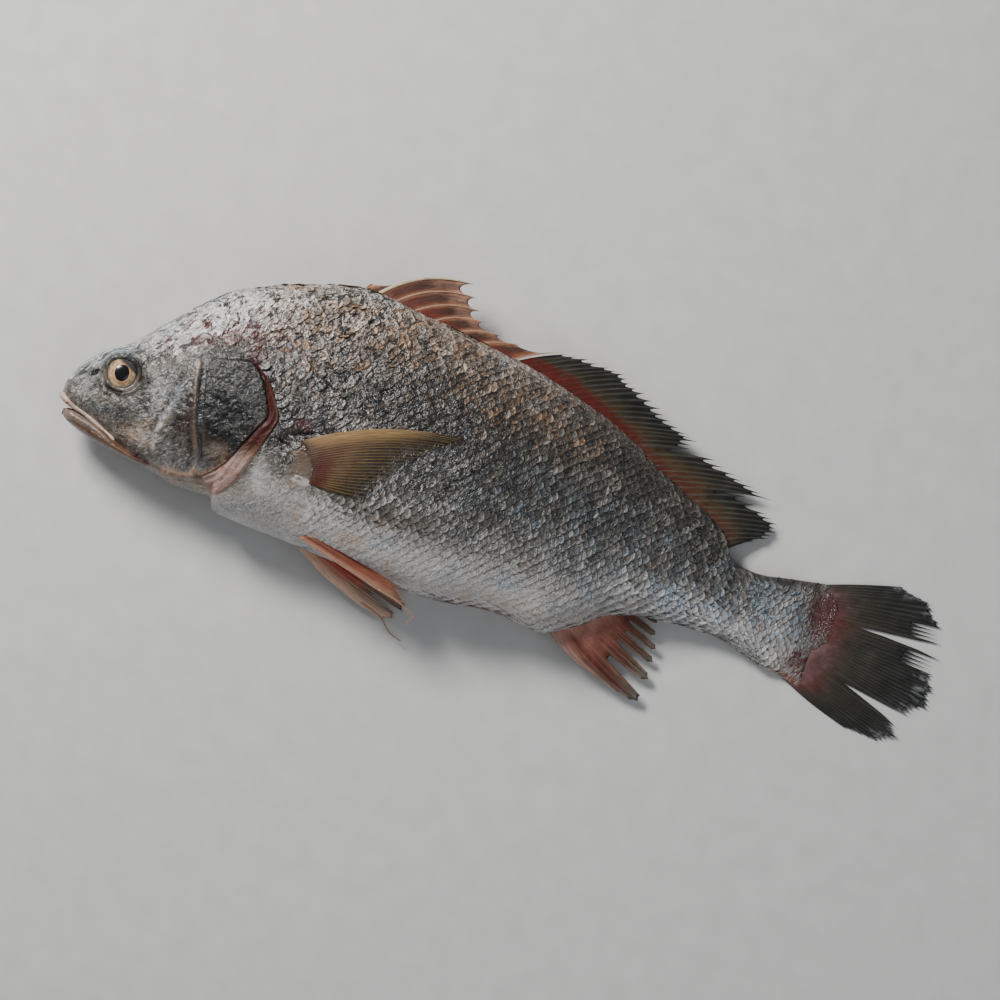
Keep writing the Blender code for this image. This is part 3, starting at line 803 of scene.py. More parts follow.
@dataclass(frozen=True)
class WetSkin:
    """Wet skin: silver to dark by the vertices' lightness, tinted warm, cool or bloody, mottled and creased, with
    painted shade in its creases and painted highlights where its wrinkles face the key lamp.
    """

    name: str
    mottle: float = 0.5
    grain: float = 0.0002
    roughness: float = 0.3
    coat: float = 0.7
    metal: float = 0.0
    crease: float = 150.0
    swell: float = 0.0005
    wrinkle: tuple[float, float, float] = (48.0, 190.0, 620.0)
    depth: float = 0.001
    rough: float = 0.6
    tint: tuple = (1.0, 1.0, 1.0, 1.0)
    cracks: float = 1.0
    tears: float = 1.0
    shine: float = 0.5
    scaled: bool = False

    def wrinkles(self, p: Palette) -> tuple[bpy.types.NodeSocket, bpy.types.NodeSocket]:
        """The height of the fine wrinkles, and how far they face the upper left."""
        turn, lengthways, across = self.wrinkle
        heights = [
            p.texture("Noise", p.strewn(turn, (lengthways, across, across), shift), "Fac", Scale=1.0, Detail=3.0, Roughness=0.6)
            for shift in ((0.0, 0.0), (-0.00032, 0.00026))
        ]
        return heights[0], p.maths("SUBTRACT", *heights)

    def flakes(self, p: Palette) -> tuple[bpy.types.NodeSocket, bpy.types.NodeSocket]:
        """How high a spot is on its step of torn skin, from 0 past an edge to 1 at the next, and where such steps are."""
        place = p.strewn(self.wrinkle[0] + 6.0, (46.0, 120.0, 120.0), (0.013, 0.007))
        level = p.texture("Noise", place, "Fac", Scale=1.0, Detail=3.0, Roughness=0.5)
        step = p.maths("FRACT", p.maths("MULTIPLY", level, 4.0))
        patchy = p.texture("Noise", p.coordinates("Object"), "Fac", Scale=130.0, Detail=2.0)
        patchy = p.maths("MULTIPLY", p.ranged(patchy, 0.38, 0.5), p.ranged(p.value("fold"), 0.35, 0.95, 0.0, 1.0))
        return step, patchy

    def parts(self, p: Palette) -> tuple[bpy.types.NodeSocket, ...]:
        """The broad and fine mottling, and the creases where 0 is the bottom of one."""
        place = p.coordinates("Object")
        broad = p.texture("Noise", place, "Fac", Scale=75.0, Detail=6.0, Roughness=0.68)
        fine = p.texture("Noise", place, "Fac", Scale=380.0, Detail=5.0, Roughness=0.72)
        net = p.maths("MINIMUM", p.creases(place, self.crease, 0.045), p.creases(place, self.crease * 2.3, 0.06))
        flat = p.maths("SUBTRACT", 1.0, p.value("fold"))
        return broad, fine, p.maths("MAXIMUM", net, flat)

    def colour(
        self, p: Palette, broad: object, fine: object, net: object, folds: tuple, flakes: tuple
    ) -> bpy.types.NodeSocket:
        """The skin's colour."""
        spots = p.maths("MULTIPLY_ADD", p.maths("SUBTRACT", fine, 0.5), 0.8, p.maths("SUBTRACT", broad, 0.5))
        depth = p.ranged(p.value("fold"), 0.0, 1.0, self.mottle * 0.4, self.mottle)
        light = p.maths("MULTIPLY_ADD", spots, depth, p.value("light"))
        # painted shade along the net of creases
        light = p.maths("ADD", light, p.ranged(net, 0.0, 1.0, -0.2 * self.cracks, 0.02))
        height, facing = folds
        # painted highlights and glints where the wrinkles face the upper-left key lamp, and painted shade in their
        # valleys
        lit = p.maths("MULTIPLY_ADD", facing, 0.8, p.ranged(facing, 0.05, 0.14, 0.0, 0.24))
        lit = p.maths("ADD", lit, p.ranged(height, 0.33, 0.45, -0.42, 0.0))
        calm = p.texture("Noise", p.coordinates("Object"), "Fac", Scale=60.0, Detail=2.0)
        strength = p.maths("MULTIPLY", p.ranged(p.value("fold"), 0.0, 1.0, 0.1, 1.4), p.ranged(calm, 0.36, 0.6, 0.4, 1.2))
        light = p.maths("MULTIPLY_ADD", lit, p.maths("MULTIPLY", strength, self.rough), light)
        step, patchy = flakes
        # painted shade at the foot of each step of torn skin and a painted highlight at its top edge
        torn = p.maths("ADD", p.ranged(step, 0.12, 0.36, -0.52, 0.0), p.ranged(step, 0.62, 0.96, 0.0, 0.2))
        light = p.maths("MULTIPLY_ADD", torn, p.maths("MULTIPLY", patchy, self.tears), light)
        # the scales' painted shade and painted glints
        if self.scaled:
            light = p.maths("ADD", light, p.value("shade"))
        colour = p.blend(1.0, p.ramp(light, *SILVER_STOPS), self.tint, "MULTIPLY")
        warm = p.maths("MULTIPLY", p.value("warm"), p.ranged(broad, 0.34, 0.6, 0.4, 1.1))
        warm = p.maths("ADD", warm, p.ranged(calm, 0.4, 0.3, 0.0, 0.4))
        colour = p.blend(p.maths("MINIMUM", warm, 1.0), colour, p.blend(1.0, colour, rgb(236, 190, 146), "MULTIPLY"))
        cool = p.maths("MULTIPLY_ADD", p.value("cool"), p.ranged(fine, 0.32, 0.58), p.ranged(calm, 0.56, 0.68, 0.0, 0.5))
        colour = p.blend(cool, colour, p.blend(1.0, colour, rgb(190, 216, 240), "MULTIPLY"))
        blood = p.value("blood")
        fleck = p.ranged(p.maths("MULTIPLY_ADD", blood, 0.5, p.maths("SUBTRACT", 0.77, height)), 0.49, 0.66)
        fleck = p.maths("MULTIPLY", fleck, p.ranged(blood, 0.02, 0.2, 0.0, 0.95))
        raw = p.maths("MULTIPLY", p.maths("MULTIPLY", p.ranged(step, 0.4, 0.2), patchy), p.ranged(blood, 0.02, 0.3, 0.0, 0.9))
        fleck = p.maths("MAXIMUM", fleck, raw)
        stain = p.blend(1.0, colour, rgb(196, 84, 64), "MULTIPLY")
        return p.blend(fleck, colour, p.blend(0.5, stain, rgb(88, 22, 14)))

    def make(self) -> bpy.types.Material:
        """The material."""
        p = Palette(self.name)
        broad, fine, net = self.parts(p)
        place = p.coordinates("Object")
        grain = p.texture("Noise", place, "Fac", Scale=950.0, Detail=4.0, Roughness=0.65)
        swell = p.texture("Noise", place, "Fac", Scale=230.0, Detail=3.0, Roughness=0.55)
        folds, flakes = self.wrinkles(p), self.flakes(p)
        p.set(p.shader, Base_Color=self.colour(p, broad, fine, net, folds, flakes), Metallic=self.metal)
        p.set(p.shader, Roughness=p.ranged(fine, 0.3, 0.7, self.roughness - 0.1, self.roughness + 0.15))
        p.shader.inputs["Coat Weight"].default_value = self.coat
        p.shader.inputs["Coat Roughness"].default_value = 0.07
        p.shader.inputs["Specular IOR Level"].default_value = self.shine
        p.bump(swell, self.swell * 2.0)
        p.bump(net, 0.0004 * self.cracks)
        p.bump(p.maths("MULTIPLY", *flakes), 0.0005 * self.tears)
        p.bump(p.maths("MULTIPLY", folds[0], p.ranged(p.value("fold"), 0.0, 1.0, 0.3, 1.0)), self.depth)
        p.bump(grain, self.grain)
        return p.material


@dataclass(frozen=True)
class WetMembrane:
    """Fin membrane: coloured from root to tip, streaked along its rays and more or less see-through."""

    name: str
    stops: tuple[tuple[float, tuple], ...]
    ray_colour: tuple = rgb(200, 182, 146)
    stain_colour: tuple = rgb(110, 24, 14)
    lead_colour: tuple = rgb(214, 180, 140)
    ray_show: float = 0.6
    lead_tip: float = 1.0
    streaks: float = 160.0
    clear: tuple[float, float] = (1.0, 0.85)
    clear_from: tuple[float, float] = (0.35, 0.95)

    def make(self) -> bpy.types.Material:
        """The material."""
        p = Palette(self.name)
        fibres = p.coordinates("UV", (self.streaks, 6.0, 1.0))
        streak = p.texture("Noise", fibres, "Fac", Scale=1.0, Detail=5.0, Roughness=0.65)
        blot = p.texture("Noise", p.coordinates("Object"), "Fac", Scale=130.0, Detail=5.0, Roughness=0.65)
        out, ray, lead = p.value("out"), p.value("ray"), p.value("lead")
        wander = p.maths("MULTIPLY", p.maths("SUBTRACT", streak, 0.5), 0.4)
        wander = p.maths("MULTIPLY_ADD", p.maths("SUBTRACT", blot, 0.5), 0.4, wander)
        colour = p.ramp(p.maths("ADD", out, wander), *self.stops)
        shown = p.maths("MULTIPLY", ray, p.ranged(blot, 0.25, 0.6, self.ray_show * 0.5, self.ray_show))
        colour = p.blend(shown, colour, self.ray_colour)
        stain = p.maths("MULTIPLY", p.value("stain"), p.ranged(blot, 0.3, 0.5, 0.5, 1.0))
        stain = p.maths("MULTIPLY", stain, p.ranged(streak, 0.36, 0.54, 0.5, 1.0))
        colour = p.blend(stain, colour, self.stain_colour)
        leading = p.maths("MULTIPLY", lead, p.ranged(out, 0.55, 0.85, 1.0, self.lead_tip))
        colour = p.blend(p.maths("MULTIPLY", leading, p.ranged(streak, 0.3, 0.5, 0.6, 1.0)), colour, self.lead_colour)
        colour = p.blend(1.0, colour, p.ranged(streak, 0.32, 0.62, 0.5, 1.2), "MULTIPLY")
        p.set(p.shader, Base_Color=colour, Roughness=p.ranged(blot, 0.3, 0.7, 0.45, 0.65))
        solid = p.ranged(out, self.clear_from[0], self.clear_from[1], self.clear[0], self.clear[1])
        solid = p.maths("MULTIPLY_ADD", ray, 0.25, solid)
        solid = p.maths("MINIMUM", 1.0, p.maths("MAXIMUM", solid, lead))
        p.set(p.shader, Alpha=solid)
        p.shader.inputs["Specular IOR Level"].default_value = 0.3
        p.shader.inputs["Coat Weight"].default_value = 0.08
        p.shader.inputs["Coat Roughness"].default_value = 0.3
        p.bump(streak, 0.0005)
        p.bump(blot, 0.0004)
        return p.material


@dataclass(frozen=True)
class EyeGlass:
    """The eye: rings of colour round its middle, under a clear wet front."""

    name: str
    centre: tuple[float, float, float]
    radius: float

    def make(self) -> bpy.types.Material:
        """The material."""
        p = Palette(self.name)
        source = p.tree.nodes.new("ShaderNodeTexCoord").outputs["Object"]
        centred = p.tree.nodes.new("ShaderNodeMapping")
        squash = (1.0 / self.radius, 0.88 / self.radius, 0.0)
        middle = tuple(-c * s for c, s in zip(self.centre, squash))
        p.set(centred, Vector=source, Location=middle, Scale=squash)
        length = p.tree.nodes.new("ShaderNodeVectorMath")
        length.operation = "LENGTH"
        p.tree.links.new(centred.outputs["Vector"], length.inputs[0])
        mottle = p.texture("Noise", p.coordinates("Object"), "Fac", Scale=500.0, Detail=5.0, Roughness=0.7)
        ring = p.maths("ADD", length.outputs["Value"], p.maths("MULTIPLY", p.maths("SUBTRACT", mottle, 0.5), 0.1))
        colour = p.ramp(
            ring,
            (0.0, rgb(5, 8, 11)),
            (0.43, rgb(7, 10, 13)),
            (0.455, rgb(110, 58, 26)),
            (0.485, rgb(240, 206, 150)),
            (0.53, rgb(190, 140, 92)),
            (0.64, rgb(206, 176, 142)),
            (0.76, rgb(190, 166, 134)),
            (0.9, rgb(112, 102, 86)),
            (1.0, rgb(70, 66, 62)),
        )
        speck = p.ranged(mottle, 0.46, 0.62, 0.0, 0.75)
        inside = p.ranged(length.outputs["Value"], 0.47, 0.53)
        colour = p.blend(p.maths("MULTIPLY", speck, inside), colour, rgb(110, 72, 40))
        height = p.tree.nodes.new("ShaderNodeSeparateXYZ")
        p.tree.links.new(centred.outputs["Vector"], height.inputs[0])
        # the overhanging upper lid and its shadow, painted dark over the top of the eyeball
        upper = p.maths("MULTIPLY_ADD", height.outputs["X"], 0.42, p.maths("MULTIPLY", height.outputs["Y"], 0.9))
        colour = p.blend(p.ranged(upper, 0.38, 0.52, 0.0, 0.94), colour, rgb(44, 47, 56))
        p.set(p.shader, Base_Color=colour, Roughness=0.25)
        p.shader.inputs["Coat Weight"].default_value = 0.5
        p.shader.inputs["Coat Roughness"].default_value = 0.1
        p.shader.inputs["Specular IOR Level"].default_value = 0.4
        return p.material


# ---------------------------------------------------------------- body, jaw and head pieces


def rolled(loft: Loft, x: Array, turn: Array) -> tuple[Array, Array]:
    """Points of a loft's skin.

    Args:
        loft: the run of sections.
        x: places along the fish.
        turn: the way round each section in radians, 0 on the left flank and a quarter turn at the back.

    Returns:
        The height up the fish, and how far each point lies to the left of the middle plane.
    """
    back, belly, half = loft.lines(x)
    widest = belly + loft.widest_share * (back - belly)
    rise = np.sin(turn)
    y = widest + rise * np.where(rise > 0.0, back - widest, widest - belly)
    power = np.where(rise > 0.0, loft.back_bulge[0], loft.belly_bulge[0])
    root = np.where(rise > 0.0, loft.back_bulge[1], loft.belly_bulge[1])
    out = half * np.clip(1.0 - np.abs(rise) ** power, 0.0, 1.0) ** root
    return y, np.where(np.cos(turn) < 0.0, -out, out)


def swept(name: str, path: Array, wide: Array, thin: Array, sides: int = 10) -> bpy.types.Object:
    """A closed rod of oval section along a path, lying flat.

    Args:
        name: the piece's name.
        path: one row of x, y and z in millimetres for each ring.
        wide: half the width of each ring, across the path and level.
        thin: half the height of each ring.
        sides: faces round the rod.

    Returns:
        The rod.
    """
    path = np.asarray(path, float)
    ahead = np.gradient(path, axis=0)
    across = np.stack((-ahead[:, 1], ahead[:, 0], np.zeros(len(path))), axis=1)
    across /= np.maximum(np.linalg.norm(across, axis=1), 1e-9)[:, None]
    up = np.cross(ahead, across)
    up /= np.maximum(np.linalg.norm(up, axis=1), 1e-9)[:, None]
    wide, thin = np.array(wide, float), np.array(thin, float)
    for ends in (wide, thin):
        ends[[0, -1]] = 0.0

    def shape(u: Array, v: Array) -> Array:
        ring = np.rint(v * (len(path) - 1)).astype(int)
        turn = 2.0 * math.pi * u
        spot = path[ring] + across[ring] * (wide[ring] * np.cos(turn))[:, None]
        return spot + up[ring] * (thin[ring] * np.sin(turn))[:, None]

    made = grid(name, sides, len(path) - 1, shape)
    seal(made)
    return made


def joined(name: str, pieces: list[bpy.types.Object]) -> bpy.types.Object:
    """Several objects made into one."""
    bpy.ops.object.select_all(action="DESELECT")
    for piece in pieces:
        piece.select_set(True)
    bpy.context.view_layer.objects.active = pieces[0]
    bpy.ops.object.join()
    pieces[0].name = name
    pieces[0].data.name = name
    return pieces[0]


def millimetres(piece: bpy.types.Object) -> Array:
    """The places of a piece's vertices in the fish's own millimetres."""
    low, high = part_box(NODE)
    unit = (high.x - low.x) / AXES.length
    return (points_of(piece) - np.array(low)) / unit + (AXES.snout, AXES.lowest, 0.0)


@dataclass
class Skin:
    """The bare skin of head, trunk and tail stalk, which the scales lie on."""

    around: int = 300
    head_rings: int = 170
    trunk_rings: int = 120
    cap_rings: int = 6
    head_end: float = 132.0
    finish: WetSkin = WetSkin("wet_skin", mottle=0.5, rough=0.42)

    def places(self) -> tuple[Array, Array]:
        """The rings' places along the fish, and how far each is opened from a point to its full size."""
        start, end = TRUNK.sections[0][0], TRUNK.sections[-1][0]
        bend = np.linspace(0.0, 1.0, self.cap_rings)[:-1]
        head = np.linspace(start, self.head_end, self.head_rings)
        rest = np.linspace(self.head_end, end, self.trunk_rings)[1:]
        x = np.concatenate((start - 0.0 * bend, head, rest, np.full(len(bend), end)))
        full = np.ones(len(head) + len(rest))
        open_share = np.concatenate((np.sin(bend * math.pi / 2.0), full, np.sin(bend[::-1] * math.pi / 2.0)))
        return x, open_share

    def build(self) -> bpy.types.Object:
        """The skin as one closed mesh."""
        x_of, open_of = self.places()
        last = len(x_of) - 1

        def shape(u: Array, v: Array) -> Array:
            ring = np.rint(v * last).astype(int)
            x, opened = x_of[ring], open_of[ring]
            turn = 2.0 * math.pi * (u - 0.25)
            y, out = rolled(TRUNK, x, turn)
            back, belly, _ = TRUNK.lines(x)
            y = (back + belly) / 2.0 + (y - (back + belly) / 2.0) * opened
            left = out >= 0.0
            z = np.empty_like(x)
            for side, mask in ((Side.LEFT, left), (Side.RIGHT, ~left)):
                z[mask] = FORM.height(x[mask], y[mask], side)
            edge = np.abs(out) < 1e-6
            z[edge] = FORM.keel(x[edge])
            z = FORM.keel(x) + (z - FORM.keel(x)) * opened
            return np.stack((x, y, z), axis=1)

        made = grid("skin", self.around, last, shape)
        spots = millimetres(made)
        COLOURING.paint(made, spots[:, 0], spots[:, 1], light=self.shading(spots))
        seal(made)
        return fit(made, self.finish.make())

    def shading(self, spots: Array) -> Array:
        """Painted shade in the nostril, the eye's socket and the lip's crease, and on the skin between the scales."""
        x, y = spots[:, 0], spots[:, 1]
        nostril = slit(x, y)
        socket = np.exp(-((np.hypot(x - EYE_PLACE[0], y - EYE_PLACE[1]) / 11.0) ** 6))
        lip, _, ends = from_line(LIP_LINE, x, y)
        crease = ends * np.exp(-((lip / 1.0) ** 2))
        scaled = ramped(150.0, 180.0, x) * ramped(-34.0, -12.0, y) * ramped(464.0, 450.0, x)
        return -0.9 * ramped(0.3, 0.65, nostril) - 0.12 * socket - 0.25 * crease - 0.16 * scaled


@dataclass
class Jaw:
    """The lower jaw, slightly dropped, with its lip, and the upper jaw's bone over its corner."""

    rings: int = 60
    around: int = 96
    cap_rings: int = 6
    finish: WetSkin = WetSkin("wet_jaw", mottle=0.4, crease=260.0, coat=0.2, tint=rgb(255, 210, 184), cracks=0.6, shine=0.35)
    lip_finish: WetSkin = WetSkin("wet_lip", mottle=0.4, crease=260.0, coat=0.4, tint=rgb(255, 228, 208), cracks=0.6, shine=0.35)

    def build(self) -> bpy.types.Object:
        """The jaw as one closed mesh."""
        start, end = JAW.sections[0][0], JAW.sections[-1][0]
        bend = np.linspace(0.0, 1.0, self.cap_rings)[:-1]
        x_of = np.concatenate((start - 1.4 * (1.0 - bend**2), np.linspace(start, end, self.rings)))
        open_of = np.concatenate((np.sqrt(1.0 - (1.0 - bend) ** 2), np.ones(self.rings)))
        last = len(x_of) - 1

        def shape(u: Array, v: Array) -> Array:
            ring = np.rint(v * last).astype(int)
            x, opened = x_of[ring], open_of[ring]
            y, out = rolled(JAW, x, 2.0 * math.pi * (u - 0.25))
            back, belly, _ = JAW.lines(x)
            y = (back + belly) / 2.0 + (y - (back + belly) / 2.0) * opened
            lip = ramped(4.0, 0.5, np.abs(y - back)) * ramped(40.0, 20.0, x)
            out = out * opened * (1.0 + 0.06 * lip)
            return np.stack((x, y, np.maximum(FORM.keel(x) + out, FORM.floor_gap)), axis=1)

        made = grid("lower_jaw", self.around, last, shape)
        spots = millimetres(made)
        COLOURING.paint(made, spots[:, 0], spots[:, 1], light=-0.02, warm=-0.3, blood=0.1, fold=-0.4)
        seal(made)
        return fit(made, self.finish.make())

    def path(self, line: Line, side: Side, lift: float, count: int = 40) -> Array:
        """A path along one side of the mouth, on whichever jaw stands out further."""
        x, y = along(line, np.linspace(0.0, 1.0, count)).T
        out = np.maximum(TRUNK.flank(x, y), JAW.flank(x, np.maximum(y, JAW.lines(x)[1])))
        return np.stack((x, y, np.maximum(FORM.keel(x) + side.value * (out + lift), 1.0)), axis=1)

    def bones(self, side: Side) -> bpy.types.Object:
        """The upper jaw's bone from the snout to the mouth's corner."""
        path = self.path(((1.0, 2.8), (12.0, -1.0), (22.0, -4.8), (30.0, -8.6), (37.2, -12.6)), side, -0.2)
        share = np.linspace(0.0, 1.0, len(path))
        wide = eased(((0.0, 0.9), (0.3, 1.4), (0.7, 1.8), (0.92, 1.5), (1.0, 0.6)), share)
        made = swept(f"{side.name.lower()}_jaw_bone", path, wide, np.full(len(path), 1.4), 14)
        spots = millimetres(made)
        COLOURING.paint(made, spots[:, 0], spots[:, 1], light=0.26, warm=-0.6, blood=-0.1, fold=-0.5)
        return fit(made, self.lip_finish.make())

    def lip(self, upper: bool) -> bpy.types.Object:
        """The upper or the lower lip, round the mouth's front from one side to the other."""
        if upper:
            line, tip = ((22.0, -5.2), (14.0, -2.0), (7.0, 0.6), (1.5, 3.2), (-0.8, 5.0)), (-2.2, 6.2)
        else:
            line, tip = ((36.0, -14.6), (25.0, -9.8), (14.0, -6.6), (7.0, -5.0), (4.2, -5.0)), (3.0, -5.6)
        left = self.path(line, Side.LEFT, 0.0, 30)
        right = self.path(line, Side.RIGHT, 0.0, 30)[::-1]
        front = np.array(((*tip, float(FORM.keel(0.0))),))
        path = np.concatenate((left, front, right))
        for _ in range(4):
            path[1:-1] = (path[:-2] + 2.0 * path[1:-1] + path[2:]) / 4.0
        share = np.abs(np.linspace(-1.0, 1.0, len(path)))
        wide = eased(((0.0, 2.7), (0.5, 1.7), (1.0, 0.5)) if upper else ((0.0, 3.0), (0.5, 2.2), (1.0, 0.6)), share)
        made = swept("upper_lip" if upper else "lower_lip", path, wide, wide * 0.9, 12)
        spots = millimetres(made)
        light = 0.22 if upper else 0.04
        COLOURING.paint(made, spots[:, 0], spots[:, 1], light=light, warm=-0.7, blood=-0.1, fold=-0.7)
        return fit(made, self.lip_finish.make())


@dataclass
class GillCover:
    """The bony plate over the gills and the soft red membrane round its rear edge."""

    side: Side
    columns: int = 60
    rows: int = 110
    lift: float = 1.5
    membrane_lift: float = 1.0
    finish: WetSkin = WetSkin("wet_gill_plate", mottle=0.55, coat=0.35, crease=190.0, rough=0.3, cracks=0.7, tears=0.6, shine=0.3)
    membrane_finish: WetSkin = WetSkin("wet_gill_membrane", mottle=0.25, coat=0.1, roughness=0.45, tint=rgb(255, 208, 188), shine=0.25)

    def plate(self) -> bpy.types.Object:
        """The bony plate."""

        def shape(u: Array, v: Array) -> Array:
            front, rear = along(GILL_FRONT, v), along(GILL_REAR, v)
            x, y = (front + (rear - front) * u[:, None]).T
            edge = ramped(1.0, 0.955, u) * ramped(0.0, 0.04, v) * ramped(1.0, 0.97, v) * ramped(0.0, 0.06, u)
            bumps = 0.35 * ripple(x, y, 26.0, 1.3) + 0.2 * ripple(x, y, 11.0, 2.2)
            lift = -0.6 + edge * (0.6 + 0.3 + self.lift * u**1.5 + bumps * (1.0 - u**4))
            return np.stack((x, y, FORM.height(x, y, self.side, lift)), axis=1)

        made = grid(f"{self.side.name.lower()}_gill_cover", self.columns, self.rows, shape)
        if self.side is Side.RIGHT:
            made.data.flip_normals()
        made.data.shade_smooth()
        spots = millimetres(made)
        x, y = spots[:, 0], spots[:, 1]
        away, _, _ = from_line(GILL_REAR, x, y)
        rim = np.exp(-((away / 2.2) ** 2))
        light = 0.1 * rim - 0.12 * ramped(30.0, 52.0, y) + 0.08 * ramped(14.0, 0.0, y)
        COLOURING.paint(made, x, y, light=light, warm=rim, blood=0.3 * rim, fold=-0.1)
        return fit(made, self.finish.make())

    def membrane(self) -> bpy.types.Object:
        """The soft membrane that closes the gill opening."""

        def shape(u: Array, v: Array) -> Array:
            inner, outer = along(GILL_REAR, v), along(MEMBRANE_EDGE, v)
            inner = inner + (inner - outer) * 0.5
            spot = inner + (outer - inner) * u[:, None]
            x, y = spot.T
            profile = eased(((0.0, -0.3), (0.3, 0.3), (0.6, 0.9), (0.85, 1.0), (1.0, -0.6)), u)
            folds = 0.22 * np.sin(u * 16.0 + 1.4 * ripple(x, y, 30.0, 0.7)) * ramped(1.0, 0.8, u)
            ends = ramped(0.0, 0.05, v) * ramped(1.0, 0.97, v)
            lift = -0.6 + ends * (0.6 + self.membrane_lift * profile + folds)
            return np.stack((x, y, FORM.height(x, y, self.side, lift)), axis=1)

        made = grid(f"{self.side.name.lower()}_gill_membrane", 28, 160, shape)
        if self.side is Side.RIGHT:
            made.data.flip_normals()
        made.data.shade_smooth()
        spots = millimetres(made)
        x, y = spots[:, 0], spots[:, 1]
        flesh = ramped(20.0, -4.0, y)
        across, _, _ = from_line(MEMBRANE_EDGE, x, y)
        folds = np.sin(across * 1.9 + 0.8 * ripple(x, y, 30.0, 0.7))
        # painted shadow of the gill plate's edge on the inner band of the membrane, which is also bloodier
        inner = np.maximum(ramped(2.0, 3.6, np.abs(across)), ramped(44.0, 52.0, y)) * (1.0 - flesh)
        line = ramped(0.3, 1.0, folds) * flesh
        wanted = {
            "light": 0.33 - 0.3 * inner + 0.37 * flesh - 0.1 * line,
            "warm": 0.9 * (1.0 - flesh),
            "blood": 0.4 + 0.55 * inner - 0.34 * flesh + 0.3 * line + 0.1 * ripple(x, y, 14.0, 0.5),
            "fold": 0.1,
            "cool": 0.7 * flesh,
        }
        base = COLOURING.values(x, y)
        COLOURING.paint(made, x, y, **{name: value - base[name] for name, value in wanted.items()})
        return fit(made, self.membrane_finish.make())


@dataclass
class Eye:
    """An eye in its socket, with the folds of skin round it."""

    side: Side
    radius: float = 9.8
    half_depth: float = 5.0
    bulge: float = 2.4
    lid_radius: float = 10.3
    lid_width: float = 1.5
    lid_finish: WetSkin = WetSkin("wet_lid", mottle=0.4, crease=260.0, coat=0.7)

    def ball(self) -> bpy.types.Object:
        """The eyeball."""
        name = f"{self.side.name.lower()}_eye"
        made = fresh(bpy.ops.mesh.primitive_uv_sphere_add, name, segments=48, ring_count=24, radius=1.0)
        x, y = EYE_PLACE
        base = float(FORM.height(np.array(x), np.array(y), self.side))
        middle = base + self.side.value * (self.bulge - self.half_depth + 1.5)
        flat = points_of(made)
        dome = flat[:, 2] * self.half_depth
        cornea = self.side.value * 0.7 * ramped(0.72, 0.4, np.hypot(flat[:, 0], flat[:, 1]))
        facing = flat[:, 2] * self.side.value > 0.0
        spots = np.stack((x + flat[:, 0] * self.radius, y + flat[:, 1] * self.radius, middle + dome + cornea * facing), axis=1)
        spots[:, 2] = np.maximum(spots[:, 2], 0.05)
        put_points(made, spots)
        made.data.shade_smooth()
        centre = AXES.metres(np.array((x, y, middle)))
        unit = float(np.ptp(AXES.metres(np.array(((0.0, 0.0, 0.0), (1.0, 0.0, 0.0))))[:, 0]))
        return fit(made, EyeGlass(f"{name}_glass", tuple(centre), self.radius * unit).make())

    def lids(self) -> bpy.types.Object:
        """The ring of skin round the eyeball, thicker and darker over it."""
        turn = np.linspace(0.0, 2.0 * math.pi, 73)
        x = EYE_PLACE[0] + (self.lid_radius + 0.35 * np.sin(3.0 * turn)) * np.cos(turn)
        y = EYE_PLACE[1] + (self.lid_radius + 0.35 * np.cos(2.0 * turn)) * np.sin(turn)
        z = FORM.height(x, y, self.side, 1.1)
        upper = 0.5 + 0.5 * np.sin(turn - 0.4)
        width = self.lid_width * (0.75 + 0.5 * upper)
        path = np.stack((x, y, z), axis=1)

        def shape(u: Array, v: Array) -> Array:
            ring = np.rint(v * 72).astype(int) % 72
            out = np.stack((np.cos(turn[ring]), np.sin(turn[ring]), np.zeros(len(ring))), axis=1)
            around = 2.0 * math.pi * u
            spot = path[ring] + out * (width[ring] * np.cos(around))[:, None]
            spot[:, 2] += width[ring] * 0.8 * np.sin(around)
            return spot

        made = grid(f"{self.side.name.lower()}_lids", 12, 72, shape)
        spots = millimetres(made)
        COLOURING.paint(made, spots[:, 0], spots[:, 1], light=-0.1 - 0.24 * ramped(26.0, 34.0, spots[:, 1]), warm=0.2, fold=-0.5)
        seal(made)
        return fit(made, self.lid_finish.make())


# ---------------------------------------------------------------- scales


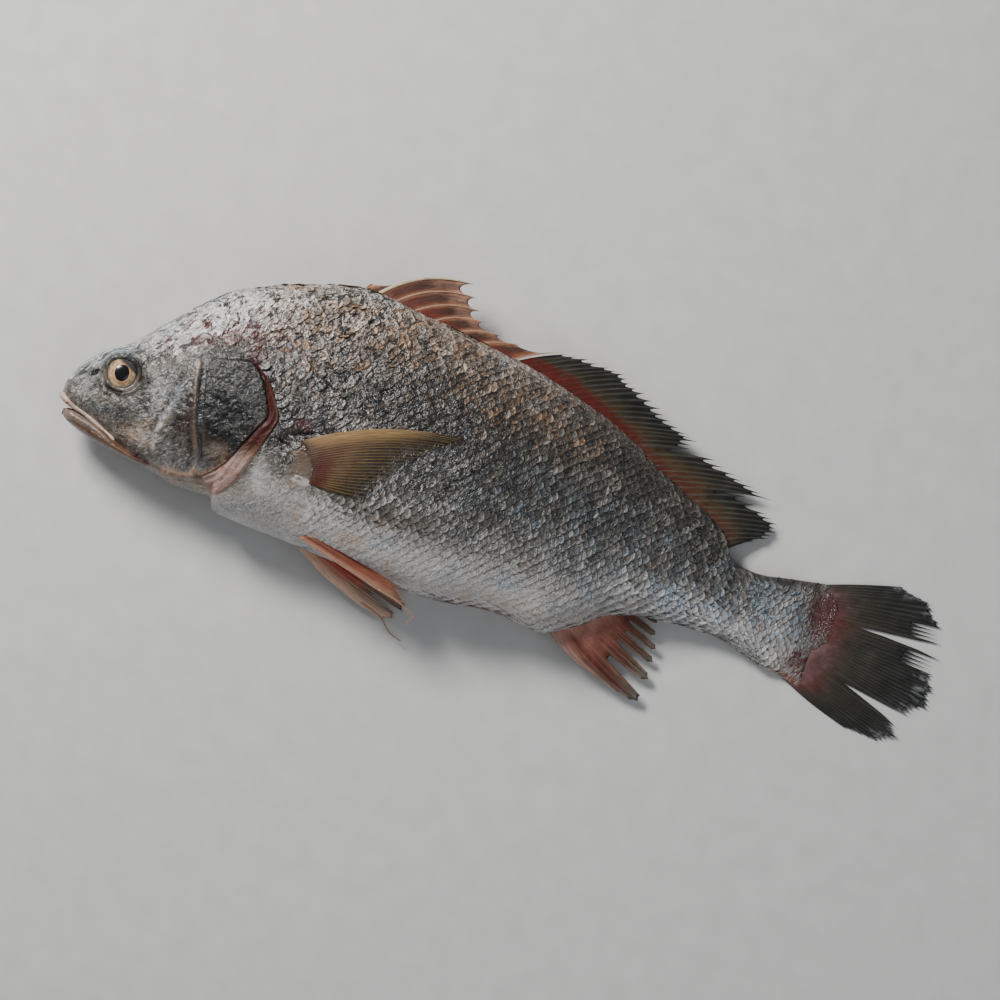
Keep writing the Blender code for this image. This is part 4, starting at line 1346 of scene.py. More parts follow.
@dataclass
class Scales:
    """The overlapping scales of one flank, in rows that follow the lateral line."""

    side: Side
    lateral: Line = ((60.0, 62.0), (100.0, 62.0), (130.0, 66.0), (170.0, 66.0), (220.0, 58.0), (280.0, 42.0), (340.0, 22.0), (400.0, 8.0), (470.0, 1.0))
    pitch: Line = ((56.0, 3.2), (100.0, 4.4), (150.0, 5.4), (300.0, 5.2), (400.0, 5.3), (445.0, 5.0), (468.0, 3.6), (484.0, 2.8))
    row_gap: Line = ((56.0, 2.1), (100.0, 2.9), (150.0, 3.5), (300.0, 3.3), (400.0, 3.2), (445.0, 3.1), (468.0, 2.3), (484.0, 1.7))
    front: Line = (
        (-50.0, 168.0),
        (-42.0, 160.0),
        (-30.0, 140.0),
        (-18.0, 132.0),
        (-6.0, 130.0),
        (6.0, 133.0),
        (22.0, 134.0),
        (32.0, 131.0),
        (40.0, 125.0),
        (50.0, 117.0),
        (60.0, 100.0),
        (66.0, 76.0),
        (76.0, 60.0),
        (96.0, 54.0),
    )
    rear: Line = ((-34.0, 448.0), (-24.0, 458.0), (-14.0, 468.0), (-6.0, 476.0), (2.0, 481.0), (14.0, 483.0), (24.0, 475.0), (31.0, 463.0))
    length_share: float = 1.85
    width_share: float = 1.16
    rise: float = 0.46
    finish: WetSkin = WetSkin(
        "wet_scale", mottle=0.34, grain=0.0001, coat=0.9, wrinkle=(72.0, 380.0, 1100.0), depth=0.0005, rough=0.7,
        cracks=0.8, scaled=True
    )
    seed: int = SEED
    turns: Array = field(default_factory=lambda: np.linspace(-0.5 * math.pi, 0.5 * math.pi, 161))

    def table(self) -> tuple[Array, Array, Array, Array]:
        """Places along the fish, with the heights, side reach and run from the lateral line of the skin there."""
        stations = np.arange(50.0, 488.0, 2.0)
        x = np.repeat(stations[:, None], len(self.turns), axis=1)
        y, out = rolled(TRUNK, x, np.broadcast_to(self.turns, x.shape))
        steps = np.hypot(np.diff(y, axis=1), np.diff(out, axis=1))
        run = np.concatenate((np.zeros((len(stations), 1)), np.cumsum(steps, axis=1)), axis=1)
        level = eased(self.lateral, stations)
        for n, at in enumerate(level):
            run[n] -= np.interp(at, y[n], run[n])
        return stations, y, out, run

    def surface(self, table: tuple[Array, Array, Array, Array], x: Array, row: Array) -> Array:
        """Spots on the skin.

        Args:
            table: what table gives.
            x: places along the fish.
            row: row numbers up from the lateral line, which may be fractions.

        Returns:
            A row of x, y and z for each, with a height below 0 where the row has left the flank.
        """
        stations, y_of, _, run_of = table
        at = (x - stations[0]) / (stations[1] - stations[0])
        n = np.clip(at.astype(int), 0, len(stations) - 2)
        part = at - n
        wanted = row * eased(self.row_gap, x)
        y = np.empty_like(x)
        for i, (k, share, run) in enumerate(zip(n, part, wanted)):
            runs = run_of[k] * (1.0 - share) + run_of[k + 1] * share
            heights = y_of[k] * (1.0 - share) + y_of[k + 1] * share
            y[i] = np.interp(run, runs, heights, left=-999.0, right=999.0)
        return y

    def covers(self, x: Array, y: Array) -> Array:
        """Whether the skin at points has scales."""
        front = eased(self.front, y) + 2.5 * ripple(x, y, 12.0, 0.8)
        bare = np.zeros(np.shape(x), bool)
        for middle_x, middle_y, reach_x, reach_y in (PAD, AXIL):
            bare |= ((x - middle_x) / reach_x) ** 2 + ((y - middle_y) / reach_y) ** 2 < 1.0
        ridge = (TRUNK.lines(x)[0] - y < 1.0 + 3.0 * ramped(380.0, 410.0, x)) & (x > 235.0)
        return (x > front) & (x < eased(self.rear, y) + 3.0 * ripple(x, y, 6.0, 1.7)) & ~bare & ~ridge

    def layout(self) -> tuple[Array, Array, Array]:
        """Where the scales sit: places, row numbers and heights up the fish."""
        rng = np.random.default_rng(self.seed + (self.side is Side.RIGHT))
        table = self.table()
        run_x = np.arange(56.0, 483.0, 0.25)
        count = np.cumsum(0.25 / eased(self.pitch, run_x))
        x_all, row_all = [], []
        for row in range(-42, 30):
            numbers = np.arange(1, int(count[-1])) + (0.5 if row % 2 else 0.0)
            x = np.interp(numbers, count, run_x) + rng.normal(0.0, 0.22, len(numbers))
            x_all.append(x)
            row_all.append(row + rng.normal(0.0, 0.05, len(numbers)))
        x, row = np.concatenate(x_all), np.concatenate(row_all)
        y = self.surface(table, x, row)
        keep = (np.abs(y) < 900.0)
        x, row, y = x[keep], row[keep], y[keep]
        keep = self.covers(x, y)
        self.kept_table = table
        return x[keep], row[keep], y[keep]

    def frames(self, x: Array, row: Array) -> tuple[Array, Array, Array, Array]:
        """The spot, rearward, upward and outward directions of each scale."""
        spots = []
        for dx, drow in ((0.0, 0.0), (1.0, 0.0), (-1.0, 0.0), (0.0, 0.3), (0.0, -0.3)):
            at = x + dx
            y = np.clip(self.surface(self.kept_table, at, row + drow), -60.0, 125.0)
            back, belly, _ = TRUNK.lines(at)
            y = np.clip(y, belly + 0.02, back - 0.02)
            z = FORM.height(at, y, self.side)
            over_fin = FORM.keel(at) + 0.5 * ramped(450.0, 460.0, at)
            z = np.where((at > 450.0) & (self.side is Side.LEFT), np.maximum(z, over_fin), z)
            spots.append(np.stack((at, y, z), axis=1))
        rear = spots[1] - spots[2]
        rise = spots[3] - spots[4]
        out = np.cross(rear, rise) * self.side.value
        rear /= np.linalg.norm(rear, axis=1)[:, None]
        out /= np.maximum(np.linalg.norm(out, axis=1), 1e-9)[:, None]
        up = np.cross(out, rear)
        return spots[0], rear, up, out

    def pattern(self) -> tuple[Array, Array]:
        """One scale of unit size: its points, with the last row bent down as its rim, and its faces."""
        along_count, across_count = 5, 4
        share = np.array((0.0, 0.4, 0.7, 0.92, 1.0, 1.0))
        points, faces = [], []
        for i, u in enumerate(share):
            for j in range(across_count + 1):
                w = 2.0 * j / across_count - 1.0
                a = u * (1.0 - 0.27 * w * w)
                b = w * (1.0 - 0.14 * u * u)
                points.append((a, b, u, w, 1.0 if i == along_count else 0.0))
        for i in range(along_count):
            for j in range(across_count):
                n = i * (across_count + 1) + j
                faces.append((n, n + across_count + 1, n + across_count + 2, n + 1))
        return np.array(points), np.array(faces)

    def build(self) -> bpy.types.Object:
        """All the scales of the flank as one mesh."""
        x, row, y = self.layout()
        spot, rear, up, out = self.frames(x, row)
        rng = np.random.default_rng(self.seed + 11)
        count = len(x)
        pitch, gap = eased(self.pitch, x), eased(self.row_gap, x)
        ruffle = ramped(215.0, 150.0, x) * ramped(20.0, 60.0, y)
        belly = ramped(4.0, -30.0, y) * ramped(390.0, 330.0, x)
        breast = ramped(190.0, 150.0, x) * ramped(14.0, -6.0, y)
        calm = 1.0 - np.maximum(0.88 * np.maximum(belly, breast), 0.4 * ramped(110.0, 70.0, x))
        calm = calm * (1.0 - 0.25 * ramped(395.0, 420.0, x)) * (1.0 - 0.7 * ramped(450.0, 474.0, x))
        up_share = TRUNK.share_up(x, y)
        calm = calm * (1.0 - 0.55 * np.maximum(ramped(0.94, 0.99, up_share), ramped(0.08, 0.03, up_share)))
        size = rng.normal(1.0, 0.08 + 0.05 * ruffle + 0.04 * ramped(385.0, 415.0, x), count)
        rise = self.rise * calm * (1.0 + 0.9 * ruffle * np.abs(rng.normal(0.0, 1.0, count)))
        stalk = ramped(385.0, 415.0, x)
        tilt = rng.normal(0.0, 0.1, count) * (0.6 + ruffle + 0.5 * stalk) * calm
        yaw = rng.normal(0.0, 0.09, count) * (1.0 + 2.4 * ruffle + stalk)
        points, faces = self.pattern()
        a, b, u, w, skirt = points.T
        length = (pitch * self.length_share * size)[:, None]
        half = (gap * self.width_share * size)[:, None]
        run = length * (a - 0.5)[None, :] + 1.3 * (1.0 - calm[:, None]) * skirt[None, :]
        wide = half * b[None, :]
        high = -0.25 + (rise[:, None] + 0.34) * u[None, :] ** 1.2 + tilt[:, None] * wide * u[None, :]
        high -= (0.4 + 0.35 * calm[:, None]) * skirt[None, :] + 0.16 * (w * w * u)[None, :]
        high += 0.2 * ramped(455.0, 468.0, x)[:, None]
        c, s = np.cos(yaw)[:, None], np.sin(yaw)[:, None]
        run, wide = run * c - wide * s, run * s + wide * c
        place = spot[:, None, :] + rear[:, None, :] * run[:, :, None] + up[:, None, :] * wide[:, :, None]
        place = place + out[:, None, :] * high[:, :, None]
        place = place.reshape(-1, 3)
        place[:, 2] = np.maximum(place[:, 2], 0.02)
        per = len(points)
        corners = (faces[None, :, :] + (np.arange(count) * per)[:, None, None]).reshape(-1, 4)
        if self.side is Side.RIGHT:
            corners = corners[:, ::-1]
        made = fresh(bpy.ops.mesh.primitive_plane_add, f"{self.side.name.lower()}_scales")
        mesh = bpy.data.meshes.new(made.name)
        mesh.from_pydata(AXES.metres(place).tolist(), [], corners.tolist())
        made.data = mesh
        mesh.shade_smooth()
        values = COLOURING.values(x, y)
        values["warm"] = values["warm"] * rng.uniform(0.3, 1.5, count)
        values["cool"] = values["cool"] * rng.uniform(-0.2, 1.6, count)
        values["light"] = values["light"] + rng.normal(0.0, 0.055, count) * calm - 0.1 * ramped(458.0, 474.0, x)
        values["blood"] = values["blood"] + 0.4 * ramped(455.0, 472.0, x)
        # painted glint near each scale's rear edge, bluish where the flank is cool
        spot = np.interp(u, (0.4, 0.7, 0.92, 1.0), (0.0, 0.3, 1.0, 0.7)) * (1.0 - 0.6 * w * w) * (1.0 - skirt)
        painted_glint = spot[None, :] * (0.3 + 1.9 * rng.uniform(0.0, 1.0, count)[:, None] ** 2)
        for name, value in values.items():
            spread = value[:, None] * (1.0 + 0.5 * painted_glint if name == "cool" else np.ones(per)[None, :])
            put_value(made, name, np.clip(spread, 0.0, 1.0).ravel())
        # painted shade where each scale slips under the rim of the one ahead and on its own bent rim, with a faint
        # lighter band just before the rim; shown only where the scale faces up
        painted_scale_shade = np.interp(u, (0.0, 0.42, 0.7, 0.92, 1.0), (-0.28, -0.24, -0.07, 0.04, 0.0)) - 0.4 * skirt
        upward = ramped(0.1, 0.6, np.abs(out[:, 2]))
        shade = calm[:, None] * (painted_scale_shade[None, :] * upward[:, None] + 0.13 * painted_glint)
        put_value(made, "shade", shade.ravel())
        return fit(made, self.finish.make())


# ---------------------------------------------------------------- fins


@dataclass(frozen=True)
class Ray:
    """One fin ray seen from the side, its sideways bow and how far the web behind it reaches."""

    root: tuple[float, float]
    tip: tuple[float, float]
    bow: float = 0.0
    web: float = 0.85


Lie = Callable[[Array, Array, Array], Array]


def hanging(droop: float) -> Lie:
    """The height of a fin that leaves the middle plane and sinks by a share of its height at the tips."""
    return lambda x, y, out: FORM.keel(x) * (1.0 - droop * out**2)


def on_flank(side: Side, low: float, high: float) -> Lie:
    """The height of a fin that lies along one flank and rises out of it near its root."""
    return lambda x, y, out: FORM.height(x, y, side, low + (high - low) * np.minimum(16.0 * out, 1.0))


def past_belly(start: float, fall: float) -> Lie:
    """The height of a fin that starts off the middle plane and falls towards the floor."""
    return lambda x, y, out: FORM.keel(x) + start - fall * out**1.5


@dataclass
class Fin:
    """A fan of rays joined by thin webs.

    comb is the number of rays added between two given ones where the web isn't torn, web_half and
    ray_half are half thicknesses, wave is how far the tips ripple up and down, lead is the width of the
    plain band along the first ray as a share of the fin, and stain gives how stained the web is for its
    shares across the fin and out from the root.
    """

    name: str
    rays: tuple[Ray, ...]
    lie: Lie
    finish: WetMembrane
    comb: int = 1
    columns: int = 8
    rows: int = 36
    web_half: float = 0.16
    ray_half: float = 0.3
    wave: float = 0.8
    torn: float = 0.62
    lead: float = 0.0
    lean: float = 0.0
    fray: tuple[float, float] = (0.0, 0.03)
    finger: float = 0.3
    stain: Callable[[Array, Array], Array] | None = None

    def combed(self) -> list[Ray]:
        """The given rays with more between them."""
        rng = np.random.default_rng(SEED + len(self.name))
        made = []
        for ray, after in zip(self.rays, self.rays[1:]):
            made.append(ray)
            if ray.web < self.torn:
                continue
            for n in range(self.comb):
                share = (n + 1) / (self.comb + 1)
                root, tip = (
                    tuple(p + (q - p) * share for p, q in zip(a, b))
                    for a, b in ((ray.root, after.root), (ray.tip, after.tip))
                )
                short = 1.0 - rng.uniform(*self.fray)
                tip = tuple(p + (q - p) * short for p, q in zip(root, tip))
                made.append(Ray(root, tip, ray.bow + (after.bow - ray.bow) * share, ray.web))
        return made + [self.rays[-1]]

    def reach(self, web: Array, across: Array) -> Array:
        """How far out the web's edge lies, for its depth and the way across from one ray to the next."""
        mid = np.abs(2.0 * across - 1.0)
        split = np.clip((1.0 - mid) / (2.0 * self.finger), 0.0, 1.0) ** 1.4
        even = np.where(web < self.torn, split, 1.0 - mid**2.4)
        leaning = np.sin(0.5 * math.pi * np.minimum(across / 0.97, 1.0)) ** 0.7
        return 1.0 - (1.0 - web) * (even * (1.0 - self.lean) + leaning * self.lean)

    def build(self) -> bpy.types.Object:
        """The fin as one closed sheet whose two faces both show the rays."""
        rays = self.combed()
        gaps = len(rays) - 1
        roots, tips = np.array([r.root for r in rays]), np.array([r.tip for r in rays])
        bows, webs = np.array([r.bow for r in rays]), np.array([r.web for r in rays])
        kept = {}

        def spot(n: Array, out: Array) -> Array:
            span = tips[n] - roots[n]
            bend = np.stack((-span[:, 1], span[:, 0]), axis=1) * (bows[n] * 4.0 * out * (1.0 - out))[:, None]
            return roots[n] + span * out[:, None] + bend

        def shape(u: Array, v: Array) -> Array:
            upper = u <= 0.5
            across = np.where(upper, 2.0 * u, 2.0 - 2.0 * u) * gaps
            n = np.minimum(across.astype(int), gaps - 1)
            w = across - n
            out = v * self.reach(webs[n], w)
            x, y = (spot(n, out) * (1.0 - w)[:, None] + spot(n + 1, out) * w[:, None]).T
            ridge = np.exp(-((np.minimum(w, 1.0 - w) / 0.16) ** 2))
            edge = np.clip(np.minimum(across, gaps - across) / 0.14, 0.0, 1.0)
            lead = np.exp(-((across / gaps / max(self.lead, 1e-3)) ** 4)) if self.lead else np.zeros(len(u))
            half = self.web_half + self.ray_half * ridge * (1.0 - 0.6 * out) + 0.5 * lead * (1.0 - out)
            half = half * np.sqrt(1.0 - (1.0 - edge) ** 2) * (1.0 - v**10) * ramped(0.0, 0.03, v)
            flutter = self.wave * out * (ripple(x, y, 38.0, 0.9) + 0.5 * ripple(x, y, 13.0, 2.1))
            z = self.lie(x, y, out) + flutter
            stain = self.stain(across / gaps, out) if self.stain else np.zeros(len(u))
            kept.update(out=out, ray=ridge, lead=lead * ramped(0.0, 0.12, v), stain=stain)
            return np.stack((x, y, np.maximum(z + np.where(upper, half, -half), 0.05)), axis=1)

        made = grid(self.name, 2 * gaps * self.columns, self.rows, shape)
        for name, values in kept.items():
            put_value(made, name, values)
        seal(made)
        return fit(made, self.finish.make())


@dataclass
class Spines:
    """The stiff pointed spines of a fin. mark is the spine with a dark break and how far out that is."""

    name: str
    rays: tuple[Ray, ...]
    lie: Lie
    finish: WetMembrane
    root_half: float = 0.75
    tip_half: float = 0.22
    bold: float = 1.7
    mark: tuple[int, float] = (-1, 0.0)

    def build(self) -> bpy.types.Object:
        """The spines as one mesh."""
        made = []
        out = np.linspace(0.0, 1.0, 28)
        for n, ray in enumerate(self.rays):
            root, tip = np.array(ray.root), np.array(ray.tip)
            span = tip - root
            bend = np.array((-span[1], span[0])) * ray.bow
            x, y = (root + span * out[:, None] + bend * (4.0 * out * (1.0 - out))[:, None]).T
            path = np.stack((x, y, self.lie(x, y, out) + 0.2), axis=1)
            size = min(1.0, 0.45 + np.linalg.norm(span) / 90.0)
            half = (self.root_half + (self.tip_half - self.root_half) * out**1.3) * size
            half = half * (self.bold if n == self.mark[0] else 1.0)
            rod = swept(f"{self.name}_{n}", path, half, half * 0.9)
            share = np.interp(millimetres(rod)[:, 0], x, out)
            clean = 0.25 + 0.75 * ramped(0.74, 0.94, share)
            if n == self.mark[0]:
                clean = 1.0 - 0.8 * np.exp(-(((share - self.mark[1]) / 0.02) ** 2))
            for name, value in (("out", 1.0), ("ray", 0.0), ("lead", clean), ("stain", 0.0)):
                put_value(rod, name, value * np.ones(len(clean)))
            made.append(rod)
        whole = joined(self.name, made)
        return fit(whole, self.finish.make())


SPINY_RAYS = (
    Ray((151.0, 110.0), (156.0, 122.6), 0.05, 0.5),
    Ray((156.0, 110.0), (215.5, 140.3), 0.13, 0.84),
    Ray((166.0, 108.0), (220.0, 133.0), 0.13, 0.86),
    Ray((178.0, 107.0), (224.5, 126.0), 0.12, 0.8),
    Ray((190.0, 105.0), (229.5, 120.5), 0.11, 0.74),
    Ray((203.0, 102.0), (241.0, 115.7), 0.1, 0.76),
    Ray((218.0, 100.0), (252.5, 113.5), 0.08, 0.66),
    Ray((243.0, 98.0), (277.0, 116.5), 0.05),
)
SOFT_BASE: Line = ((246.0, 99.0), (270.0, 94.0), (300.0, 85.0), (330.0, 73.0), (370.0, 52.0), (405.0, 30.0))
SOFT_TIPS = (
    (282.0, 117.0, 0.85),
    (295.0, 118.0, 0.85),
    (308.0, 116.5, 0.9),
    (318.0, 115.5, 0.9),
    (323.0, 111.0, 0.9),
    (333.0, 108.0, 0.85),
    (345.0, 102.0, 0.85),
    (353.0, 96.5, 0.85),
    (366.0, 92.0, 0.85),
    (373.0, 89.5, 0.8),
    (369.0, 84.0, 0.55),
    (386.0, 82.0, 0.8),
    (400.0, 77.0, 0.85),
    (413.0, 73.0, 0.85),
    (426.0, 69.0, 0.5),
    (409.0, 66.5, 0.8),
    (425.0, 60.0, 0.85),
    (433.0, 56.0, 0.9),
    (434.0, 51.0, 0.85),
    (430.0, 46.0, 0.8),
    (416.0, 39.0, 1.0),
)
ANAL_RAYS = (
    Ray((306.0, -34.0), (361.0, -65.2), -0.08, 0.93),
    Ray((314.0, -32.0), (378.0, -71.0), -0.04, 0.99),
    Ray((320.0, -30.5), (383.5, -66.8), -0.02, 0.6),
    Ray((326.0, -28.5), (382.0, -57.2), -0.02, 0.99),
    Ray((331.0, -26.5), (384.0, -52.6), 0.0, 0.54),
    Ray((335.0, -25.0), (382.0, -46.2), 0.0, 0.99),
    Ray((338.0, -23.5), (383.6, -42.4), 0.0, 0.56),
    Ray((341.0, -21.0), (382.0, -38.2), 0.0, 0.99),
    Ray((343.5, -19.0), (383.5, -35.0), 0.0, 0.52),
    Ray((346.0, -17.0), (379.0, -30.2), 0.0, 0.99),
    Ray((348.0, -15.0), (381.0, -27.0), 0.0, 0.36),
    Ray((350.0, -13.0), (379.0, -22.6), 0.0, 0.99),
    Ray((352.0, -12.0), (380.0, -20.4)),
)
TAIL_RAYS = (
    Ray((452.0, 23.0), (516.0, 42.0), 0.02, 0.98),
    Ray((454.0, 19.0), (534.0, 37.5), 0.02, 0.97),
    Ray((455.0, 15.0), (546.0, 24.8), 0.02, 0.8),
    Ray((456.0, 11.0), (548.0, 15.5), 0.01, 0.38),
    Ray((456.0, 7.0), (551.0, 6.0), 0.02, 0.78),
    Ray((456.0, 3.0), (549.0, -3.5), 0.0, 0.97),
    Ray((456.0, -1.0), (552.0, -13.5), 0.0, 0.97),
    Ray((456.0, -5.0), (552.0, -24.5), 0.0, 0.95),
    Ray((456.0, -9.0), (541.0, -31.0), 0.0, 0.5),
    Ray((456.0, -13.0), (536.0, -39.5), 0.0, 0.95),
    Ray((455.0, -17.0), (541.0, -46.5), -0.02, 0.96),
    Ray((454.0, -21.0), (529.0, -51.5), -0.02, 0.97),
    Ray((452.0, -26.0), (508.0, -49.5), -0.03),
)
LEFT_PELVIC_RAYS = (
    Ray((159.0, -35.5), (229.0, -56.5), 0.0, 0.97),
    Ray((160.5, -34.5), (234.5, -55.5), 0.0, 0.86),
    Ray((162.0, -33.5), (236.0, -52.5), 0.0, 0.84),
    Ray((163.5, -32.5), (235.0, -50.0), 0.0, 0.86),
    Ray((165.0, -31.5), (230.0, -47.6), 0.0, 0.96),
    Ray((167.0, -30.0), (224.0, -45.4), 0.0),
)
RIGHT_PELVIC_RAYS = (
    Ray((152.0, -36.0), (222.0, -68.5), -0.05, 0.98),
    Ray((155.0, -35.4), (229.0, -66.5), -0.05, 0.97),
    Ray((158.0, -34.6), (228.5, -63.0), -0.03, 0.72),
    Ray((161.0, -33.8), (232.5, -60.5), -0.02, 0.98),
    Ray((164.0, -33.0), (234.0, -57.5), -0.02, 0.98),
    Ray((167.0, -32.0), (228.0, -52.5), 0.0),
)
FILAMENTS = (
    (("left", 14.0, 10.0), ((214.0, -51.2), (224.0, -53.8), (231.0, -56.4), (236.0, -58.8), (238.8, -61.8), (237.6, -64.2), (235.4, -66.0))),
    (("right", -12.0, -27.0), ((206.0, -61.8), (215.0, -65.0), (221.0, -67.8), (224.5, -71.5), (229.0, -75.2), (236.5, -77.7))),
)
PECTORAL_RAYS = (
    Ray((143.0, 19.5), (241.0, 49.8), 0.07, 0.97),
    Ray((148.0, 16.5), (233.0, 45.5), 0.06, 0.97),
    Ray((151.5, 12.5), (223.0, 38.0), 0.05, 0.97),
    Ray((154.0, 8.5), (212.0, 28.5), 0.03, 0.97),
    Ray((155.5, 4.5), (203.0, 18.0), 0.0, 0.97),
    Ray((156.0, 0.5), (196.0, 7.5), -0.02, 0.97),
    Ray((155.0, -2.5), (189.0, -3.5), -0.03),
)
ORANGE_FIN = WetMembrane(
    "orange_fin",
    (
        (0.0, rgb(122, 66, 46)),
        (0.25, rgb(84, 40, 26)),
        (0.55, rgb(66, 42, 29)),
        (0.8, rgb(134, 98, 82)),
        (1.0, rgb(196, 156, 136)),
    ),
    ray_colour=rgb(190, 126, 88),
    lead_colour=rgb(236, 210, 174),
    ray_show=0.8,
)
SOFT_FIN = WetMembrane(
    "dusky_fin",
    (
        (0.0, rgb(66, 30, 24)),
        (0.22, rgb(84, 42, 22)),
        (0.36, rgb(72, 50, 26)),
        (0.5, rgb(46, 38, 26)),
        (0.7, rgb(23, 23, 20)),
        (1.0, rgb(22, 23, 23)),
    ),
    ray_colour=rgb(88, 86, 79),
    stain_colour=rgb(84, 12, 7),
    ray_show=0.6,
    streaks=170.0,
    clear=(1.0, 0.88),
)
ANAL_FIN = WetMembrane(
    "rosy_fin",
    (
        (0.0, rgb(216, 176, 160)),
        (0.22, rgb(200, 144, 128)),
        (0.4, rgb(158, 92, 78)),
        (0.6, rgb(98, 56, 44)),
        (0.8, rgb(86, 64, 50)),
        (1.0, rgb(112, 106, 94)),
    ),
    ray_colour=rgb(170, 124, 102),
    stain_colour=rgb(88, 24, 18),
    lead_colour=rgb(180, 142, 128),
    ray_show=0.36,
)
TAIL_FIN = WetMembrane(
    "tail_fin",
    (
        (0.0, rgb(150, 126, 128)),
        (0.26, rgb(112, 80, 80)),
        (0.34, rgb(72, 50, 44)),
        (0.46, rgb(48, 42, 32)),
        (0.62, rgb(30, 29, 25)),
        (0.92, rgb(24, 25, 26)),
        # painted highlight of wet glints along the tail's rear edge
        (1.0, rgb(96, 98, 100)),
    ),
    ray_colour=rgb(84, 81, 73),
    stain_colour=rgb(92, 34, 34),
    ray_show=0.4,
    streaks=130.0,
    clear=(1.0, 0.92),
)
PELVIC_FIN = WetMembrane(
    "red_fin",
    (
        (0.0, rgb(170, 120, 102)),
        (0.2, rgb(146, 86, 70)),
        (0.5, rgb(134, 58, 42)),
        (0.8, rgb(152, 96, 72)),
        (1.0, rgb(124, 102, 88)),
    ),
    ray_colour=rgb(200, 148, 118),
    stain_colour=rgb(84, 18, 12),
    lead_colour=rgb(186, 146, 122),
    ray_show=0.65,
)
FAR_PELVIC_FIN = WetMembrane(
    "far_red_fin",
    (
        (0.0, rgb(230, 176, 158)),
        (0.25, rgb(206, 104, 84)),
        (0.5, rgb(190, 96, 74)),
        (0.68, rgb(118, 96, 78)),
        (1.0, rgb(92, 90, 82)),
    ),
    ray_colour=rgb(232, 186, 160),
    stain_colour=rgb(172, 34, 30),
    lead_colour=rgb(244, 204, 178),
    ray_show=0.6,
)
PECTORAL_FIN = WetMembrane(
    "golden_fin",
    (
        (0.0, rgb(66, 50, 50)),
        (0.1, rgb(72, 46, 42)),
        (0.2, rgb(76, 42, 31)),
        (0.36, rgb(80, 57, 36)),
        (0.6, rgb(56, 43, 28)),
        (0.8, rgb(30, 23, 17)),
        (1.0, rgb(20, 16, 12)),
    ),
    ray_colour=rgb(164, 134, 84),
    stain_colour=rgb(84, 24, 18),
    lead_colour=rgb(158, 126, 82),
    ray_show=0.55,
    lead_tip=0.0,
    streaks=260.0,
    clear=(0.97, 0.16),
    clear_from=(0.34, 0.92),
)


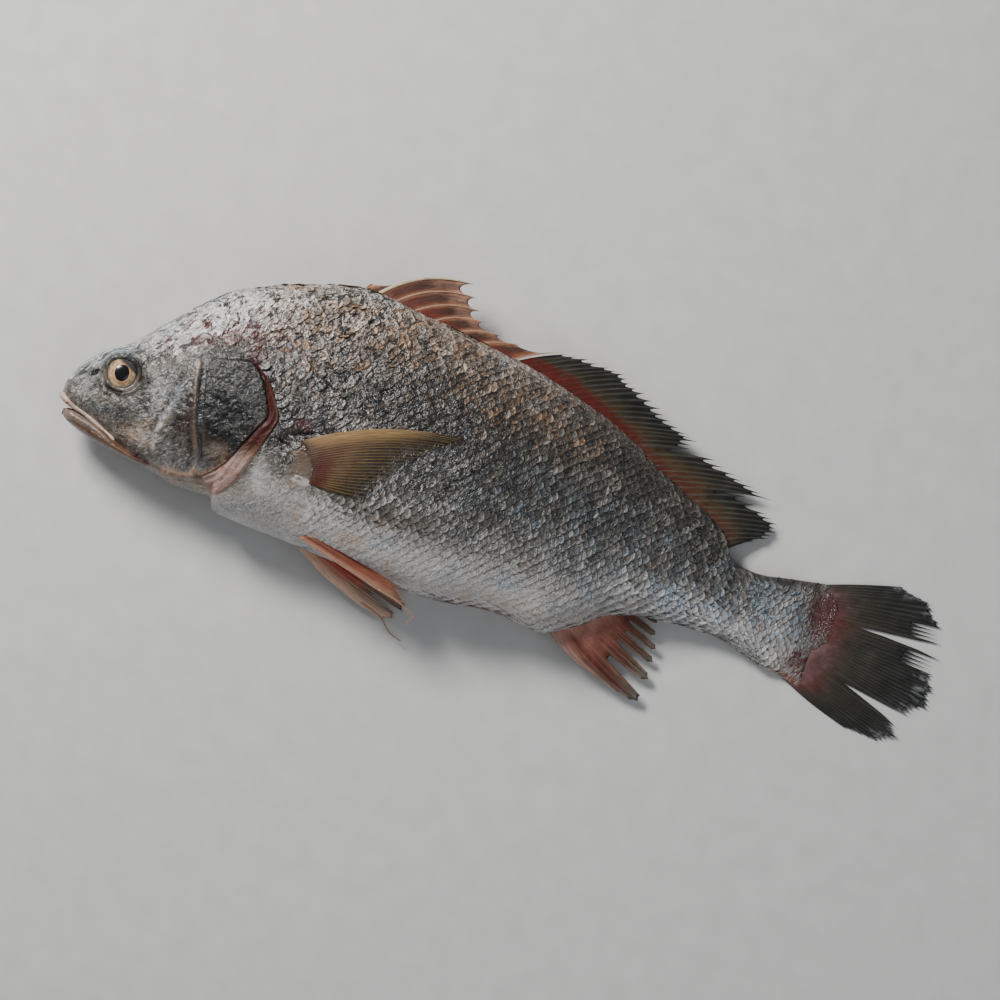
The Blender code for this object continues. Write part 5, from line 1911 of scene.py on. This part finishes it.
@dataclass
class Fins:
    """All the fins."""

    def soft_rays(self) -> tuple[Ray, ...]:
        """The soft rays of the back, spread evenly along their base."""
        last = len(SOFT_TIPS) - 1
        roots = along(SOFT_BASE, np.linspace(0.0, 1.0, last + 1))
        return tuple(Ray(tuple(root), (x, y), 0.04, web) for root, (x, y, web) in zip(roots, SOFT_TIPS))

    def back(self) -> None:
        """The spiny and the soft fin of the back."""
        Fin(
            "spiny_fin", SPINY_RAYS, hanging(0.15), ORANGE_FIN, comb=0, columns=18, ray_half=0.2, lean=0.75,
            stain=lambda across, out: ramped(0.55, 0.25, out) * ramped(0.25, 0.5, across) * 0.8,
        ).build()
        Fin(
            "soft_fin", self.soft_rays(), hanging(0.35), SOFT_FIN, comb=1, columns=12, torn=0.6, ray_half=0.2,
            stain=lambda across, out: ramped(0.55, 0.4, out + 0.35 * across) * ramped(0.64, 0.42, across),
        ).build()
        Spines("back_spines", SPINY_RAYS, hanging(0.15), ORANGE_FIN, mark=(1, 0.6)).build()

    def anal(self) -> None:
        """The anal fin."""
        Fin(
            "anal_fin", ANAL_RAYS, hanging(0.5), ANAL_FIN, comb=1, columns=12, torn=0.7, lead=0.075, finger=0.26,
            fray=(-0.05, -0.035),
            stain=lambda across, out: 0.8
            * np.maximum(
                np.exp(-(((across - 0.14) / 0.03) ** 2)) * ramped(0.2, 0.35, out) * ramped(0.95, 0.8, out),
                np.exp(-(((across - 0.72) / 0.12) ** 2)) * ramped(0.2, 0.35, out) * ramped(0.66, 0.5, out),
            ),
        ).build()

    def tail(self) -> None:
        """The tail fin."""
        Fin(
            "tail_fin", TAIL_RAYS, hanging(0.0), TAIL_FIN, comb=3, rows=48, columns=6, finger=0.45, ray_half=0.16,
            stain=lambda across, out: np.exp(-((((out - 0.22) / 0.14) ** 2 + ((across - 0.33) / 0.2) ** 2) ** 1.5))
            + 0.5 * np.exp(-((((out - 0.3) / 0.12) ** 2 + ((across - 0.85) / 0.16) ** 2) ** 1.5)),
        ).build()

    def pelvic(self) -> None:
        """The two pelvic fins and their trailing threads."""
        Fin(
            "left_pelvic_fin", LEFT_PELVIC_RAYS, past_belly(19.0, 9.0), PELVIC_FIN, comb=2, columns=6, lead=0.26, wave=0.4,
            stain=lambda across, out: ramped(0.62, 0.8, across) * ramped(0.03, 0.15, out) * ramped(0.9, 0.55, out)
            + 0.6 * np.exp(-(((across - 0.45) / 0.1) ** 2)) * ramped(0.5, 0.2, out),
        ).build()
        Fin(
            "right_pelvic_fin", RIGHT_PELVIC_RAYS, past_belly(-8.0, 22.0), FAR_PELVIC_FIN, comb=2, columns=6, torn=0.75,
            lead=0.38,
            stain=lambda across, out: np.exp(-(((across - 0.6) / 0.12) ** 2)) * ramped(0.66, 0.5, out),
        ).build()
        for (side, start, end), line in FILAMENTS:
            share = np.linspace(0.0, 1.0, 40)
            x, y = along(line, share).T
            path = np.stack((x, y, FORM.keel(x) + start + (end - start) * share), axis=1)
            thread = swept(f"{side}_pelvic_thread", path, 0.75 - 0.5 * share, 0.7 - 0.5 * share)
            for name, value in (("out", 0.8), ("ray", 1.0), ("lead", 1.0), ("stain", 0.0)):
                put_value(thread, name, np.full(len(thread.data.vertices), value))
            fit(thread, PELVIC_FIN.make())

    def pectoral(self) -> None:
        """The two pectoral fins."""
        for side, low, high, ray_half, wave in ((Side.LEFT, -0.6, 1.2, 0.1, 0.3), (Side.RIGHT, -0.6, 0.5, 0.08, 0.0)):
            Fin(
                f"{side.name.lower()}_pectoral_fin", PECTORAL_RAYS, on_flank(side, low, high), PECTORAL_FIN,
                comb=3, columns=6, ray_half=ray_half, wave=wave, lead=0.22,
                stain=lambda across, out: ramped(0.3, 0.55, across) * ramped(0.3, 0.16, out) * 0.8,
            ).build()

    def build(self) -> None:
        """Builds each fin."""
        self.back()
        self.anal()
        self.tail()
        self.pelvic()
        self.pectoral()


# ---------------------------------------------------------------- studio


@dataclass
class Studio:
    """A pale floor, soft light from the upper left and a camera straight overhead."""

    view_turn: float = 17.0
    view_centre: tuple[float, float] = (268.3, 21.2)
    view_width: float = 600.0
    lens: float = 400.0
    sensor: float = 36.0

    def floor(self) -> None:
        """The floor."""
        made = fresh(bpy.ops.mesh.primitive_plane_add, "floor", size=8.0)
        p = Palette("pale_floor")
        grain = p.texture("Noise", p.coordinates("Object"), "Fac", Scale=60.0, Detail=4.0)
        p.set(p.shader, Base_Color=p.ramp(grain, (0.3, rgb(206, 205, 203)), (0.7, rgb(214, 213, 211))), Roughness=0.7)
        made.data.materials.append(p.material)

    def lamp(self, name: str, place: tuple[float, float, float], size: float, power: float, colour: tuple) -> None:
        """One soft square lamp aimed at the fish."""
        bpy.ops.object.light_add(type="AREA", location=place)
        made = bpy.context.object
        made.name = name
        made.data.size = size
        made.data.energy = power
        made.data.color = colour
        made.rotation_euler = (Vector((0.0, 0.0, 0.03)) - Vector(place)).to_track_quat("-Z", "Y").to_euler()

    def camera(self) -> None:
        """The camera."""
        x, y = self.view_centre
        centre = AXES.metres(np.array((x, y, 35.0)))
        width = float(np.ptp(AXES.metres(np.array(((0.0, 0.0, 0.0), (self.view_width, 0.0, 0.0))))[:, 0]))
        away = width * self.lens / self.sensor
        bpy.ops.object.camera_add(location=(centre[0], centre[1], centre[2] + away))
        made = bpy.context.object
        made.rotation_euler = (0.0, 0.0, math.radians(self.view_turn))
        made.data.lens = self.lens
        made.data.sensor_width = self.sensor
        bpy.context.scene.camera = made

    def world(self) -> None:
        """An even dim surround."""
        world = bpy.data.worlds.new("surround")
        world.use_nodes = True
        ground = world.node_tree.nodes["Background"]
        ground.inputs["Color"].default_value = (0.9, 0.94, 1.0, 1.0)
        ground.inputs["Strength"].default_value = 0.2
        bpy.context.scene.world = world

    def build(self) -> None:
        """Sets up the whole studio."""
        self.floor()
        self.lamp("key_lamp", (-0.95, 0.7, 1.05), 0.45, 32.0, (1.0, 0.985, 0.965))
        self.lamp("fill_lamp", (0.9, -0.6, 1.3), 1.2, 5.0, (0.92, 0.96, 1.0))
        self.camera()
        self.world()


def main() -> None:
    """Builds the fish and its studio."""
    Studio().build()
    Skin().build()
    jaw = Jaw()
    jaw.build()
    jaw.lip(True)
    jaw.lip(False)
    for side in Side:
        jaw.bones(side)
        cover = GillCover(side)
        cover.membrane()
        cover.plate()
        eye = Eye(side)
        eye.ball()
        eye.lids()
        Scales(side).build()
    Fins().build()


if __name__ == "__main__":
    main()
